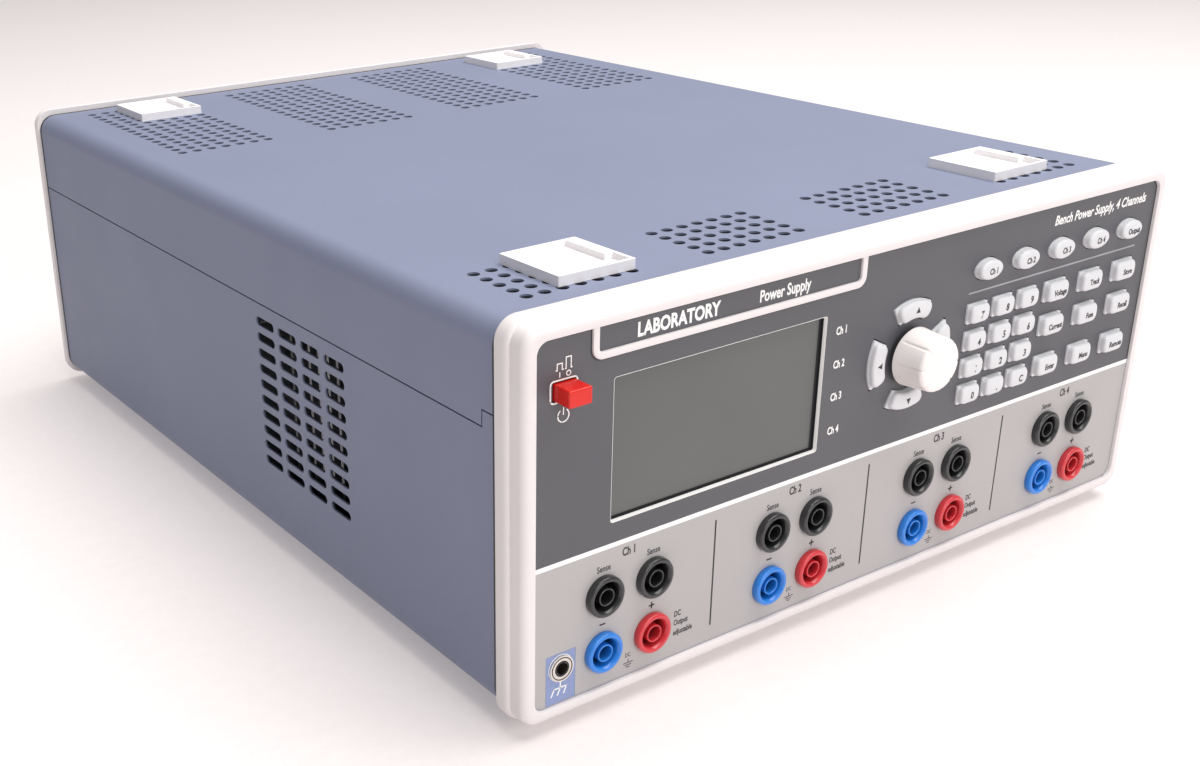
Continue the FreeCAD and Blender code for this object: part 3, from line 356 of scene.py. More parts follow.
def lathe(bm, profile, centre, segments):
    """Turn a closed profile of (radius, y) pairs round an axis along y."""
    x, z = centre
    rings = []
    for step in range(segments):
        angle = 2 * math.pi * step / segments
        rings.append([bm.verts.new(at(x + radius * math.cos(angle), y,
                                      z + radius * math.sin(angle))) for radius, y in profile])
    count = len(profile)
    for step in range(segments):
        here, there = rings[step], rings[(step + 1) % segments]
        for index in range(count):
            following = (index + 1) % count
            if profile[index][0] or profile[following][0]:
                bm.faces.new((here[index], here[following], there[following], there[index]))


def arc(centre, radius, start, end, steps):
    """Points on an arc in any plane, with angles in degrees."""
    return [(centre[0] + radius * math.cos(math.radians(start + (end - start) * step / steps)),
             centre[1] + radius * math.sin(math.radians(start + (end - start) * step / steps)))
            for step in range(steps + 1)]


def skin(bm, rings, capped=True):
    """Join rings of points, each with as many points, into one surface."""
    rows = [[bm.verts.new(point) for point in ring] for ring in rings]
    for here, there in zip(rows, rows[1:]):
        for index in range(len(here)):
            following = (index + 1) % len(here)
            bm.faces.new((here[index], here[following], there[following], there[index]))
    if capped:
        bm.faces.new(rows[0])
        bm.faces.new(list(reversed(rows[-1])))


def skin_loop(bm, rings):
    """Join rings of points and the last to the first. clean() merges the ends."""
    skin(bm, rings + rings[:1], False)


# ---------------------------------------------------------------- fascia

DIVIDER_LOW, DIVIDER_HIGH = 51.0, 52.5
LILAC_X, LILAC_Z = (-132.5, -121.6), (5.4, 22.4)
CORNER_RIGHT, CORNER_TOP = -115, 30
DISPLAY_X, DISPLAY_Z = (-109.8, -26.6), (59.0, 103.8)
OPENING_WIDTH, OPENING_LOW, OPENING_HIGH, OPENING_ROUND = 274.2, 5.2, 119.9, 3.8
TAB_LEFT, TAB_RIGHT, TAB_LOW, TAB_ROUND = -117.9, -11.7, 110.3, 3.5


def inside(point, x_range, z_range):
    return x_range[0] < point.x < x_range[1] and z_range[0] < point.z < z_range[1]


def split_faces(bm, faces, place, normal):
    """Split these faces along a plane."""
    around = dict.fromkeys(part for face in faces for part in (*face.verts, *face.edges))
    bmesh.ops.bisect_plane(bm, geom=list(around) + faces, plane_co=place, plane_no=normal,
                           dist=1e-7)


def make_fascia():
    """The fascia plate, split along the edges of its printed colours."""
    bm = bmesh.new()
    bm.from_mesh(NODES["front_panel"].data)
    clean(bm)
    for height in (DIVIDER_LOW, DIVIDER_HIGH):
        split_faces(bm, bm.faces[:], at(0, 0, height), (0, 0, 1))
    corner = at(CORNER_RIGHT, 0, CORNER_TOP)
    for side in LILAC_X:
        low = [face for face in bm.faces if face.calc_center_median().z < corner.z]
        split_faces(bm, low, at(side, 0, 0), (1, 0, 0))
    left = [face for face in bm.faces if face.calc_center_median().x < corner.x]
    split_faces(bm, left, at(0, 0, LILAC_Z[1]), (0, 0, 1))
    foils = [foil_dark, foil_light, ink_white, foil_edge_and_painted_shade, foil_lilac]
    for face in bm.faces:
        middle = (face.calc_center_median() - at(0, 0, 0)) / MM
        if middle.y > 0.01:
            foil = foil_edge_and_painted_shade
        elif middle.z > DIVIDER_HIGH:
            foil = foil_dark
        elif middle.z > DIVIDER_LOW:
            foil = ink_white
        elif inside(middle, LILAC_X, LILAC_Z):
            foil = foil_lilac
        else:
            foil = foil_light
        face.material_index = foils.index(foil)
    piece = make_piece("fascia_foil", bm, foils, "casing", "fascia", 1)
    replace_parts(piece, "front_panel")


def rounded_rectangle(wide, tall, radius, steps=6):
    """Points round a rectangle in its own (x, z) plane."""
    radius = min(radius, wide / 2 - 1e-4, tall / 2 - 1e-4)
    points = []
    for quarter, (side, rise) in enumerate(((1, 1), (-1, 1), (-1, -1), (1, -1))):
        centre = (side * (wide / 2 - radius), rise * (tall / 2 - radius))
        for step in range(steps + 1):
            angle = math.pi / 2 * (quarter + step / steps)
            points.append((centre[0] + radius * math.cos(angle),
                           centre[1] + radius * math.sin(angle)))
    return points


# A section of a white frame or a cover: half its width, its lower and upper edge and its corners'
# radius, seen from the front. With a depth y it gives one hoop of points.
RING, TIER, SKIRT = (142.5, 0, 125, 7), (141.4, 1, 124, 5.9), (139.8, 3.6, 121.2, 5.4)
OPENING = (OPENING_WIDTH / 2, OPENING_LOW, OPENING_HIGH, OPENING_ROUND)
COVERS = (141.4, 2, 122.8, 7)
LEDGE_WIDE = 4


def hoop(side, low, high, radius, y):
    return [at(u, y, (low + high) / 2 + v)
            for u, v in rounded_rectangle(2 * side, high - low, radius, 8)]


def inset_section(side, low, high, radius, by, y):
    """A section moved in by some way, at a depth."""
    return side - by, low + by, high - by, max(0.3, radius - by), y


def rounding(outline, depth, reach, y, steps=7):
    """Sections of an elliptical edge: in by depth while y runs back from the front by reach."""
    sections = []
    for step in range(steps + 1):
        angle = math.pi / 2 * step / steps
        sections.append(inset_section(*outline, depth * (1 - math.cos(angle)),
                                      y + reach * (1 - math.sin(angle))))
    return sections


def tab_outline(out, top):
    """The U of the header tab, moved out by some way and ended at a height."""
    left, right, low = TAB_LEFT - out, TAB_RIGHT + out, TAB_LOW - out
    return ([(left, top)] + arc((left + TAB_ROUND, low + TAB_ROUND), TAB_ROUND, 180, 270, 8)
            + arc((right - TAB_ROUND, low + TAB_ROUND), TAB_ROUND, 270, 360, 8) + [(right, top)])


RIB_SECTION = [(0, 0.1), (0, -0.5), (0.09, -0.71), (0.3, -0.8), (1.9, -0.8), (2.11, -0.71),
               (2.2, -0.5), (2.2, 0.1)]


def add_header_rib(bm):
    """White rib along the header tab: its section is (way inward, y)."""
    path = tab_outline(0, OPENING_HIGH + 0.6)
    loops = []
    for index, (x, z) in enumerate(path):
        before = Vector(path[max(0, index - 1)])
        after = Vector(path[min(len(path) - 1, index + 1)])
        run = (after - before).normalized()
        loops.append([at(x - run.y * by, y, z + run.x * by) for by, y in RIB_SECTION])
    skin(bm, loops)


def make_front_frame():
    """White frame: a rear ring, a tier in front of it, the plate's seat, a skirt, the tab's rib."""
    ledge = inset_section(*OPENING, LEDGE_WIDE, 0)[:3] + (0.4,)
    sections = [inset_section(*RING, 0.45, 10.9), inset_section(*RING, 0.1, 10.75), RING + (10.4,)]
    sections += rounding(RING, 1.05, 1.9, 5.2)
    sections += [TIER + (5.05,), TIER + (4.6,)]
    sections += rounding(TIER, 2.4, 2.4, -1.2)
    sections += [inset_section(*OPENING, -0.35, -1.2), inset_section(*OPENING, -0.1, -1.1)]
    sections += [OPENING + (-0.85,), OPENING + (3,), ledge + (3,), ledge + (5,), OPENING + (5,),
                 OPENING + (19,), SKIRT + (19,), SKIRT + (10.9,)]
    bm = bmesh.new()
    skin_loop(bm, [hoop(*section) for section in sections])
    add_header_rib(bm)
    clean(bm)
    piece = make_piece("bezel", bm, [white_plastic], "casing", "white_plastic", 40)
    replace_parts(piece, "front_frame")


def make_gap_lining():
    """Dark bands on the covers in the joints between the covers and the two white frames, as
    painted shade.
    """
    bm = bmesh.new()
    proud, thick = 0.03, 1.1
    for front, back in ((10.95, 12.9), (357.0, 358.45)):
        corners = ((-proud, front), (-proud, back), (thick, back), (thick, front))
        skin_loop(bm, [hoop(*inset_section(*COVERS, by, y)) for by, y in corners])
    clean(bm)
    make_piece("joint_painted_shade", bm, [foil_edge_and_painted_shade], "casing", "black_plastic")


GLASS_Y, GLASS_INSET = 1.78, 0.6


def make_display_surround():
    """Light chamfer round the display's opening, its colour partly the trim's own and partly
    painted highlight, with dark walls down to the glass as painted shade.
    """
    x, z = sum(DISPLAY_X) / 2, sum(DISPLAY_Z) / 2
    wide, tall = DISPLAY_X[1] - DISPLAY_X[0], DISPLAY_Z[1] - DISPLAY_Z[0]
    bm = bmesh.new()
    skin_loop(bm, [[at(x + u, y, z + v) for u, v in
                    rounded_rectangle(wide - 2 * inset, tall - 2 * inset, radius)]
                   for inset, y, radius in ((-0.02, 1.75, 1), (-0.02, -0.03, 1), (0.1, -0.06, 0.9),
                                            (0.6, 0.8, 0.5), (0.62, 0.9, 0.5), (0.62, 1.75, 0.5))])
    clean(bm)
    # Faces deeper than 0.86 mm, the opening's walls, take the near-black finish as painted shade.
    for face in bm.faces:
        face.material_index = int(face.calc_center_median().y > at(0, 0.86, 0).y)
    make_piece("display_surround", bm, [trim_and_painted_highlight, foil_edge_and_painted_shade], "casing", "fascia")


def make_display_mask():
    """Dark strips on the glass, along its lower and its right edge: painted shade and painted
    reflection of the opening's walls.
    """
    (left, right), (low, high) = [(start + GLASS_INSET, end - GLASS_INSET)
                                  for start, end in (DISPLAY_X, DISPLAY_Z)]
    bottom_wide, right_wide = 0.6, 1.0
    painted_shade = Print(surface=lambda u, v: GLASS_Y)
    painted_shade.bar((left, right), (low, low + bottom_wide))
    painted_shade.bar((right - right_wide, right), (low + bottom_wide, high))
    painted_shade.done("display_painted_shade", foil_edge_and_painted_shade, "casing", "display")


# ---------------------------------------------------------------- keys

OVAL_KEYS = ["key_ch1", "key_ch2", "key_ch3", "key_ch4", "key_output"]
SQUARE_KEYS = ["key_0", "key_point", "key_clear", "key_1", "key_2", "key_3", "key_4", "key_5",
               "key_6", "key_7", "key_8", "key_9", "key_voltage", "key_current", "key_enter",
               "key_track", "key_fuse", "key_menu", "key_store", "key_recall", "key_remote"]
ARROW_KEYS = {"key_right": 0, "key_up": 90, "key_left": 180, "key_down": 270}
ARROW_INNER, ARROW_OUTER, ARROW_SPAN, ARROW_BACK = 12.2, 18.5, 54, 5.6
ARROW_MIDDLE = (ARROW_INNER + ARROW_OUTER) / 2
PLINTH, FLANGE, FLANGE_FRONT, FLANGE_BACK = 0.5, 1, 3.4, 4.4
KEY_ROUND, KEY_DRAFT, KEY_FACE_EDGE, CROWN = 1.0, 0.3, 1.25, 0.22


def key_profile(proud, back, flanged):
    """(inset, y) pairs from a key's back over its flange and plinth to the edge of its face."""
    pairs = [(0, back)]
    if flanged:
        pairs += [(0, FLANGE_BACK), (-FLANGE, FLANGE_BACK), (-FLANGE, FLANGE_FRONT),
                  (0, FLANGE_FRONT)]
    pairs += [(0, 0.08 - PLINTH), (0.04, -PLINTH), (0.12, -PLINTH), (0.14, -PLINTH - 0.1)]
    for step in range(7):
        angle = math.pi / 2 * step / 6
        pairs.append((KEY_DRAFT + KEY_ROUND * (1 - math.cos(angle)),
                      KEY_ROUND * (1 - math.sin(angle)) - proud))
    return pairs


def corner_radius(inset):
    """Nearly square corners on a key's flange and plinth, round ones on its cap."""
    return 0.35 if inset < 0.1 else 1.9 + 0.3 * inset


def key_rings(outline, proud, back, flanged=True):
    """Rings of one key cap: its sides, shoulder and crowned face."""
    profile = key_profile(proud - CROWN, back, flanged)
    rings = [(outline(inset), y) for inset, y in profile]
    edge = outline(profile[-1][0])
    for share in (0.8, 0.55, 0.3, 0.1):
        rings.append(([(u * share, v * share) for u, v in edge], -proud + CROWN * share ** 2))
    return rings


def crown_at(u, v, wide, tall, proud):
    """y of a key's face at a point measured from its centre."""
    share = max(abs(u) / (wide / 2 - KEY_FACE_EDGE), abs(v) / (tall / 2 - KEY_FACE_EDGE))
    return -proud + CROWN * min(1, share) ** 2


def make_cap(key, rings, place):
    bm = bmesh.new()
    skin(bm, [[place(u, y, v) for u, v in ring] for ring, y in rings])
    clean(bm)
    piece = make_piece("cap_" + key, bm, [key_rubber], BODY_OF[key], "key_plastic", 50)
    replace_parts(piece, key)


def key_measures(key):
    """A key's centre, visible width and height, front and back at the fascia's datum."""
    low, high = ((corner - at(0, 0, 0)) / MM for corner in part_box(key))
    centre = (low.x + high.x) / 2, (low.z + high.z) / 2
    wide, tall = high.x - low.x - 2 * FLANGE, high.z - low.z - 2 * FLANGE
    return centre, wide, tall, -low.y, high.y


def make_keys():
    for key in OVAL_KEYS + SQUARE_KEYS:
        (x, z), wide, tall, proud, back = key_measures(key)

        def outline(inset, wide=wide, tall=tall, oval=key in OVAL_KEYS):
            if oval:
                return [((wide / 2 - inset) * math.cos(math.pi * step / 24),
                         (tall / 2 - inset) * math.sin(math.pi * step / 24))
                        for step in range(48)]
            return rounded_rectangle(wide - 2 * inset, tall - 2 * inset, corner_radius(inset))

        make_cap(key, key_rings(outline, proud, back),
                 lambda u, y, v, x=x, z=z: at(x + u, y, z + v))


def arrow_outline(inset):
    """Points round an arrow key before it is bent, with more along its two long sides."""
    wide, tall = math.radians(ARROW_SPAN) * ARROW_MIDDLE, ARROW_OUTER - ARROW_INNER
    steps, dense = 7, []
    points = rounded_rectangle(wide - 2 * inset, tall - 2 * inset, corner_radius(inset), steps)
    for index, (u, v) in enumerate(points):
        dense.append((u, v))
        if index % (2 * steps + 2) == steps:
            far_u, far_v = points[index + 1]
            dense += [(u + (far_u - u) * share / 8, v + (far_v - v) * share / 8)
                      for share in range(1, 8)]
    return dense


KNOB = tuple((sum(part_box("knob"), Vector()) / 2 - at(0, 0, 0)) / MM)


def make_arrow_keys():
    """Four keys bent round the knob."""
    for key, direction in ARROW_KEYS.items():
        def place(u, y, v, direction=direction):
            radius, angle = ARROW_MIDDLE + v, math.radians(direction) - u / ARROW_MIDDLE
            return at(KNOB[0] + radius * math.cos(angle), y, KNOB[2] + radius * math.sin(angle))

        proud = (FASCIA_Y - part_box(key)[0].y) / MM
        make_cap(key, key_rings(arrow_outline, proud, ARROW_BACK, False), place)


GROOVES, GROOVE_DEEP, GROOVE_HALF = 8, 0.36, 0.5
KNOB_TAPER, KNOB_FOOT, KNOB_NOSE, KNOB_BORE = 4.3, 1.2, 1.5, 3.1


def groove_dip(angle, radius, y, back, nose):
    """How far the knob's grooves sink in at a point of its side."""
    across = abs((angle * GROOVES / (2 * math.pi) + 0.5) % 1 - 0.5) * 2 * math.pi / GROOVES * radius
    start = min(1, max(0, (back - 1.6 - y) / 0.5))
    fade = min(1, max(0, radius - nose * 0.8))
    return GROOVE_DEEP * start * fade * max(0, 1 - (across / GROOVE_HALF) ** 2)


def make_knob():
    """Conical knob: smooth foot, eight shallow grooves that run over the front edge."""
    low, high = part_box("knob")
    front, back = (low.y - FASCIA_Y) / MM, (high.y - FASCIA_Y) / MM
    foot, taper = (high.x - low.x) / 2 / MM, math.tan(math.radians(KNOB_TAPER))
    nose = foot - (back - front) * taper
    foot_end, nose_start = back - KNOB_FOOT, front + KNOB_NOSE
    profile = [(KNOB_BORE, back), (foot - 0.35, back), (foot, back - 0.35), (foot - 0.05, foot_end)]
    for step in range(1, 9):
        y = foot_end + (nose_start - foot_end) * step / 8
        profile.append((foot - (back - y) * taper, y))
    profile += arc((nose - 1.45, nose_start), 1.56, 0, -75, 8)
    profile += [(nose * 0.7, front + 0.03), (nose * 0.4, front + 0.01), (0.05, front)]
    segments, rings = 256, []
    for radius, y in profile:
        ring = []
        for step in range(segments):
            angle = 2 * math.pi * step / segments
            dip = groove_dip(angle, radius, y, back, nose)
            back_by = 0.5 * dip if radius < nose - 0.8 else 0
            ring.append(at(KNOB[0] + (radius - dip) * math.cos(angle), y + back_by,
                           KNOB[2] + (radius - dip) * math.sin(angle)))
        rings.append(ring)
    bm = bmesh.new()
    skin(bm, rings)
    clean(bm)
    piece = make_piece("knob_cap", bm, [knob_plastic], "knob", "key_plastic", 40)
    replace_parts(piece, "knob")


# ---------------------------------------------------------------- sockets

SOCKET_X, SOCKET_PAIR, SOCKET_PITCH, SENSE_Z, OUTPUT_Z = -111.7, 18.95, 67.7, 36.4, 17.5
SOCKET_PROFILE = (
    [(5.9, 14), (5.9, 0.0), (6.5, 0.0), (6.55, -0.3)]
    + arc((5.75, -1.6), 0.8, 0, -90, 5) + [(5.5, -2.4)]
    + arc((5.4, -2.1), 0.3, -90, -140, 3)
    + [(4.75, -1.55), (4.62, -1.3), (4.6, 11.6), (3.05, 11.6), (2.9, -1.5)]
    + arc((2.62, -1.6), 0.28, 0, -180, 6)
    + [(2.3, -1.2), (2.3, 3.3), (2.6, 3.5), (2.6, 14)])


def make_sockets():
    groups = {"sense": (socket_black, "socket_black", [(0, SENSE_Z), (SOCKET_PAIR, SENSE_Z)]),
              "negative": (socket_blue, "socket_blue", [(0, OUTPUT_Z)]),
              "positive": (socket_red, "socket_red", [(SOCKET_PAIR, OUTPUT_Z)])}
    for kind, (finish, slot, places) in groups.items():
        bm = bmesh.new()
        for channel in range(4):
            for x, z in places:
                lathe(bm, SOCKET_PROFILE, (SOCKET_X + channel * SOCKET_PITCH + x, z), 72)
        clean(bm)
        piece = make_piece(kind + "_socket_bodies", bm, [finish], "casing", slot, 32)
        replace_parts(piece, kind + "_sockets")


# ---------------------------------------------------------------- printing

CAPITAL_SHARE = 0.73  # capitals' height as a share of the lettering's size


class Print:
    """Flat shapes of one ink, a few hundredths of a millimetre thick.

    place turns (x, y, z) into a point, surface gives y at (x, z), and facing is the side along y
    that the ink is seen from.
    """

    def __init__(self, place=at, surface=lambda u, v: 0, facing=-1):
        self.bm = bmesh.new()
        self.place, self.surface = place, surface
        self.proud, self.sunk = 0.05 * facing, -0.02 * facing

    def slab(self, points):
        """A flat shape between points round its edge."""
        def layer(lift):
            return [self.bm.verts.new(self.place(x, self.surface(x, z) + lift, z))
                    for x, z in points]

        front, back = layer(self.proud), layer(self.sunk)
        self.bm.faces.new(front)
        self.bm.faces.new(list(reversed(back)))
        for index in range(len(points)):
            following = (index + 1) % len(points)
            self.bm.faces.new((front[index], back[index], back[following], front[following]))

    def bar(self, x_range, z_range):
        (left, right), (low, high) = x_range, z_range
        self.slab([(left, low), (right, low), (right, high), (left, high)])

    def line(self, start, end, wide):
        (x0, z0), (x1, z1) = start, end
        side = Vector((z0 - z1, x1 - x0)).normalized() * wide / 2
        self.slab([(x0 + side.x, z0 + side.y), (x0 - side.x, z0 - side.y),
                   (x1 - side.x, z1 - side.y), (x1 + side.x, z1 + side.y)])

    def loop(self, points, wide, closed=True):
        """A line of one width through points, with mitred corners."""
        count = len(points)
        left, right = [], []
        for index, (x, z) in enumerate(points):
            here = Vector((x, z))
            before = Vector(points[index - 1]) if closed or index else here
            after = Vector(points[(index + 1) % count]) if closed or index < count - 1 else here
            run_in = (here - before if before != here else after - here).normalized()
            run_out = (after - here).normalized() if after != here else run_in
            normal_in = Vector((-run_in.y, run_in.x))
            normal_out = Vector((-run_out.y, run_out.x))
            mitre = (normal_in + normal_out).normalized()
            mitre *= wide / 2 / max(0.3, mitre.dot(normal_in))
            left.append(here + mitre)
            right.append(here - mitre)
        for index in range(count if closed else count - 1):
            following = (index + 1) % count
            self.slab([tuple(left[index]), tuple(right[index]), tuple(right[following]),
                       tuple(left[following])])

    def ring(self, x, z, radius, wide, segments=48):
        self.loop(arc((x, z), radius, 0, 360, segments)[:-1], wide)

    def text(self, words, x, z, height, squeeze, bold=0.0, align="CENTER", slant=0):
        """Lettering whose capitals have that height, centred on z."""
        curve = bpy.data.curves.new("words", "FONT")
        curve.body = words
        curve.align_x = align
        curve.size = height / CAPITAL_SHARE
        curve.shear = slant
        curve.offset = bold * height
        curve.resolution_u = 3
        curve.extrude = 0.5
        holder = bpy.data.objects.new("words", curve)
        bpy.context.scene.collection.objects.link(holder)
        graph = bpy.context.evaluated_depsgraph_get()
        mesh = bpy.data.meshes.new_from_object(holder.evaluated_get(graph))
        for vertex in mesh.vertices:
            u, v, depth = vertex.co
            u, v = x + u * squeeze, z + v - height / 2
            lift = self.proud if depth > 0 else self.sunk
            vertex.co = self.place(u, self.surface(u, v) + lift, v)
        self.bm.from_mesh(mesh)
        bpy.data.objects.remove(holder)
        bpy.data.curves.remove(curve)
        bpy.data.meshes.remove(mesh)

    def done(self, name, finish, body, slot):
        clean(self.bm, 0.001)
        return make_piece(name, self.bm, [finish], body, slot, 30)


SWITCH_X = -127.3


def print_switch(white):
    """Frame round the mains button, push pictograms with the on and off marks, a standby mark."""
    white.loop([(SWITCH_X + 0.1 + u, 104.3 + v) for u, v in rounded_rectangle(9.2, 6.4, 1.2)],
               0.45)
    low = 110.4
    for start, rise, fall, end, top in ((-2.8, -2.3, -0.6, -0.1, 112.2),
                                        (0.3, 0.7, 2.4, 2.9, 113.6)):
        steps = ((start, low), (rise, low), (rise, top), (fall, top), (fall, low), (end, low))
        white.loop([(SWITCH_X + u, z) for u, z in steps], 0.3, False)
    white.line((SWITCH_X - 1.4, 108.2), (SWITCH_X - 1.4, 109.7), 0.3)
    white.ring(SWITCH_X + 1.6, 108.95, 0.7, 0.3, 24)
    white.loop(arc((SWITCH_X, 97), 1.9, 125, 415, 29), 0.35, False)
    white.line((SWITCH_X, 97.2), (SWITCH_X, 99.4), 0.35)


def print_words(white, grey):
    """The display's channel names, the header and the description with its line."""
    for number, z in enumerate((98.0, 87.0, 76.2, 64.8), start=1):
        white.text(f"Ch {number}", -22.3, z, 2.6, 0.7, 0.035, "LEFT")
    white.text("LABORATORY", -102, 116.0, 4.2, 0.82, 0.05, "LEFT")
    white.text("Power Supply", -56, 116.0, 3.7, 0.74, 0.03, "LEFT")
    white.text("Bench Power Supply, 4 Channels", 131.0, 114.6, 3.4, 0.82, 0.03, "RIGHT", 0.2)
    grey.line((39.4, 97.3), (129.1, 97.3), 0.55)


def print_joints(dark, grey):
    """Painted shadow in the joint between the plate and the white frame, and outside the tab's rib.
    """
    half, turn = OPENING_WIDTH / 2 - 0.3, 3.5
    for ink, side, edge, start, wide in ((dark, 1, OPENING_HIGH - 0.3, DIVIDER_HIGH, 0.45),
                                         (grey, -1, OPENING_LOW + 0.3, DIVIDER_LOW, 0.5)):
        z = edge - side * turn
        ink.loop([(-half, start)] + arc((turn - half, z), turn, 180, 180 - side * 90, 8)
                 + arc((half - turn, z), turn, side * 90, 0, 8) + [(half, start)], wide, False)
    dark.loop(tab_outline(0.15, OPENING_HIGH - 0.4), 0.5, False)


EARTH_X, EARTH_Z, EARTH_DEEP = -127.1, 17.4, 0.81


def print_earth(white):
    """The earth socket's ring with its chassis mark, and the shadows in its bush."""
    white.ring(EARTH_X, EARTH_Z, 4.3, 0.3)
    stem, wide = 10.6, 0.45
    white.line((EARTH_X, 12.9), (EARTH_X, stem), wide)
    white.line((EARTH_X - 2.5, stem), (EARTH_X + 2.5, stem), wide)
    for x in (EARTH_X - 2.3, EARTH_X, EARTH_X + 2.3):
        white.line((x, stem + 0.1), (x - 1.1, 8.2), wide)
    bush = Print(surface=lambda u, v: -EARTH_DEEP)
    bush.ring(EARTH_X, EARTH_Z, 2.3, 0.55)
    bush.ring(EARTH_X, EARTH_Z, 3.6, 0.3)
    bush.done("earth_recess", foil_edge_and_painted_shade, "casing", "nickel")


def print_output(dark, channel):
    """One output's name, socket marks and rating, with an earth mark between the sockets."""
    left = SOCKET_X + channel * SOCKET_PITCH
    right = left + SOCKET_PAIR
    dark.text(f"Ch {channel + 1}", (left + right) / 2, 48.3, 2.8, 0.7, 0.035)
    for x in (left, right):
        dark.text("Sense", x, 45.2, 2.1, 0.78, 0.018)
    sign, reach, wide = 26.5, 1.1, 0.5
    dark.line((left - reach, sign), (left + reach, sign), wide)
    dark.line((right - reach, sign), (right + reach, sign), wide)
    dark.line((right, sign - reach), (right, sign + reach), wide)
    for words, z in (("DC", 20.1), ("Output", 17.0), ("adjustable", 13.6)):
        dark.text(words, right + 9.3, z, 2.0, 0.7, 0.03, "LEFT")
    dark.text("DC", left + 10.2, 12.4, 1.5, 0.75)
    x, z = left + 10.4, 9.6
    dark.line((x, z + 1.3), (x, z), 0.25)
    for half, drop in ((1.9, 0), (1.3, 0.75), (0.7, 1.5)):
        dark.line((x - half, z - drop), (x + half, z - drop), 0.25)


FIELD_EDGE, FIELD_PITCH = -68.1, 67.35


def print_fascia():
    white, dark, grey = Print(), Print(), Print()
    print_switch(white)
    print_words(white, grey)
    print_joints(dark, grey)
    print_earth(white)
    for channel in range(4):
        print_output(dark, channel)
    for x in (FIELD_EDGE + index * FIELD_PITCH for index in range(3)):
        dark.line((x, 11), (x, 47.6), 0.6)
    white.done("print_white", ink_white, "casing", "fascia")
    dark.done("print_and_shadow_dark", ink_dark_and_shadow, "casing", "fascia")
    grey.done("print_and_shadow_grey", ink_grey_and_shadow, "casing", "fascia")


LEGENDS = {"key_ch1": "Ch 1", "key_ch2": "Ch 2", "key_ch3": "Ch 3", "key_ch4": "Ch 4",
           "key_output": "Output", "key_point": ".", "key_clear": "C", "key_voltage": "Voltage",
           "key_current": "Current", "key_enter": "Enter", "key_track": "Track",
           "key_fuse": "Fuse", "key_menu": "Menu", "key_store": "Store", "key_recall": "Recall",
           "key_remote": "Remote"}
LEGENDS.update({f"key_{digit}": str(digit) for digit in range(10)})


def print_keys():
    for key, words in LEGENDS.items():
        (x, z), wide, tall, proud, _ = key_measures(key)
        ink = Print(surface=lambda u, v, x=x, z=z, wide=wide, tall=tall, proud=proud:
                    crown_at(u - x, v - z, wide, tall, proud))
        height, squeeze = (2.5, 0.85) if len(words) == 1 else (2.1, 0.76)
        ink.text(words, x + 0.3, z - 0.2, height, squeeze, 0.035)
        ink.done("legend_" + key, ink_dark_and_shadow, BODY_OF[key], "key_plastic")
    for key, direction in ARROW_KEYS.items():
        face = (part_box(key)[0].y - FASCIA_Y) / MM + 0.02
        turn = Matrix.Rotation(math.radians(direction), 2)
        ink = Print(surface=lambda u, v, face=face: face)
        corners = [turn @ Vector((ARROW_MIDDLE + u, v))
                   for u, v in ((-0.8, -1), (1.1, 0), (-0.8, 1))]
        ink.slab([(KNOB[0] + corner.x, KNOB[2] + corner.y) for corner in corners])
        ink.done("legend_" + key, ink_dark_and_shadow, BODY_OF[key], "key_plastic")


# ---------------------------------------------------------------- back

PANEL_BACK = (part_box("rear_panel")[1].y - FASCIA_Y) / MM
SCREW_X, SCREW_Z, SCREW_RADIUS, SCREW_HIGH = (-125.5, 0, 125.5), (17, 108), 2.9, 1.8
SCREW_NECK, SCREW_LONG, CROSS_WIDE, CROSS_REACH, CROSS_DEEP = 1.4, 5, 0.8, 1.55, 0.8
BLOCK_X, BLOCK_PITCH, BLOCK_Z, POLES, POLE_PITCH = -96, 44, 93, 8, 4.2
MODULE_X, MODULE_Z, MODULE_THICK = -64, 30, 1.5
SQUARE_PORT, NETWORK_PORT, SERIAL_PORT = MODULE_X - 28, MODULE_X, MODULE_X + 29


def cross_head(bm, x, z):
    """Domed screw head with a cross recess, and its neck, seen from behind."""
    def circle(radius, height_at):
        points = [(radius * math.cos(math.pi * step / 32), radius * math.sin(math.pi * step / 32))
                  for step in range(64)]
        return [at(x + u, PANEL_BACK + height_at(u, v), z + v) for u, v in points]

    def face_height(u, v):
        reach = math.hypot(u, v)
        high = SCREW_HIGH * (1 - 0.45 * (reach / SCREW_RADIUS) ** 2)
        in_cross = min(abs(u), abs(v)) < CROSS_WIDE / 2 and max(abs(u), abs(v)) < CROSS_REACH
        return high - (0.5 if reach > SCREW_RADIUS - 0.01 else 0) - (CROSS_DEEP if in_cross else 0)

    rings = [circle(radius, face_height) for radius in
             (0.04, 0.2, 0.35, 0.45, 0.55, 0.75, 1.0, 1.25, 1.45, 1.6, 1.9, 2.3, 2.6, 2.8,
              SCREW_RADIUS)]
    rings += [circle(SCREW_RADIUS, lambda u, v: 0), circle(SCREW_NECK, lambda u, v: 0),
              circle(SCREW_NECK, lambda u, v: -SCREW_LONG)]
    skin(bm, rings)


def make_panel_screws():
    bm = bmesh.new()
    for x in SCREW_X:
        for z in SCREW_Z:
            cross_head(bm, x, z)
    clean(bm, 0.001)
    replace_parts(make_piece("panel_screws", bm, [steel], "casing", "steel", 30), "screws")


def turned(name, profile, places, segments, y):
    """A small metal piece: one profile of (radius, y from a face) turned at several places."""
    bm = bmesh.new()
    for place in places:
        lathe(bm, [(radius, y + rise) for radius, rise in profile], place, segments)
    clean(bm)
    make_piece(name, bm, [nickel], "casing", "steel", 30)


def box_shell(bm, x, size, front, back, wall, floor_depth):
    """A connector's shell that opens to the back: outside, lip, inside and floor."""
    def ring(inset, y, radius):
        return [at(x + u, y, MODULE_Z + v) for u, v in
                rounded_rectangle(size[0] - 2 * inset, size[1] - 2 * inset, radius, 4)]

    skin(bm, [ring(0, front, 0.8), ring(0, back - 0.15, 0.8), ring(0.15, back, 0.7),
              ring(wall, back, 0.4), ring(wall, back - floor_depth, 0.4)])


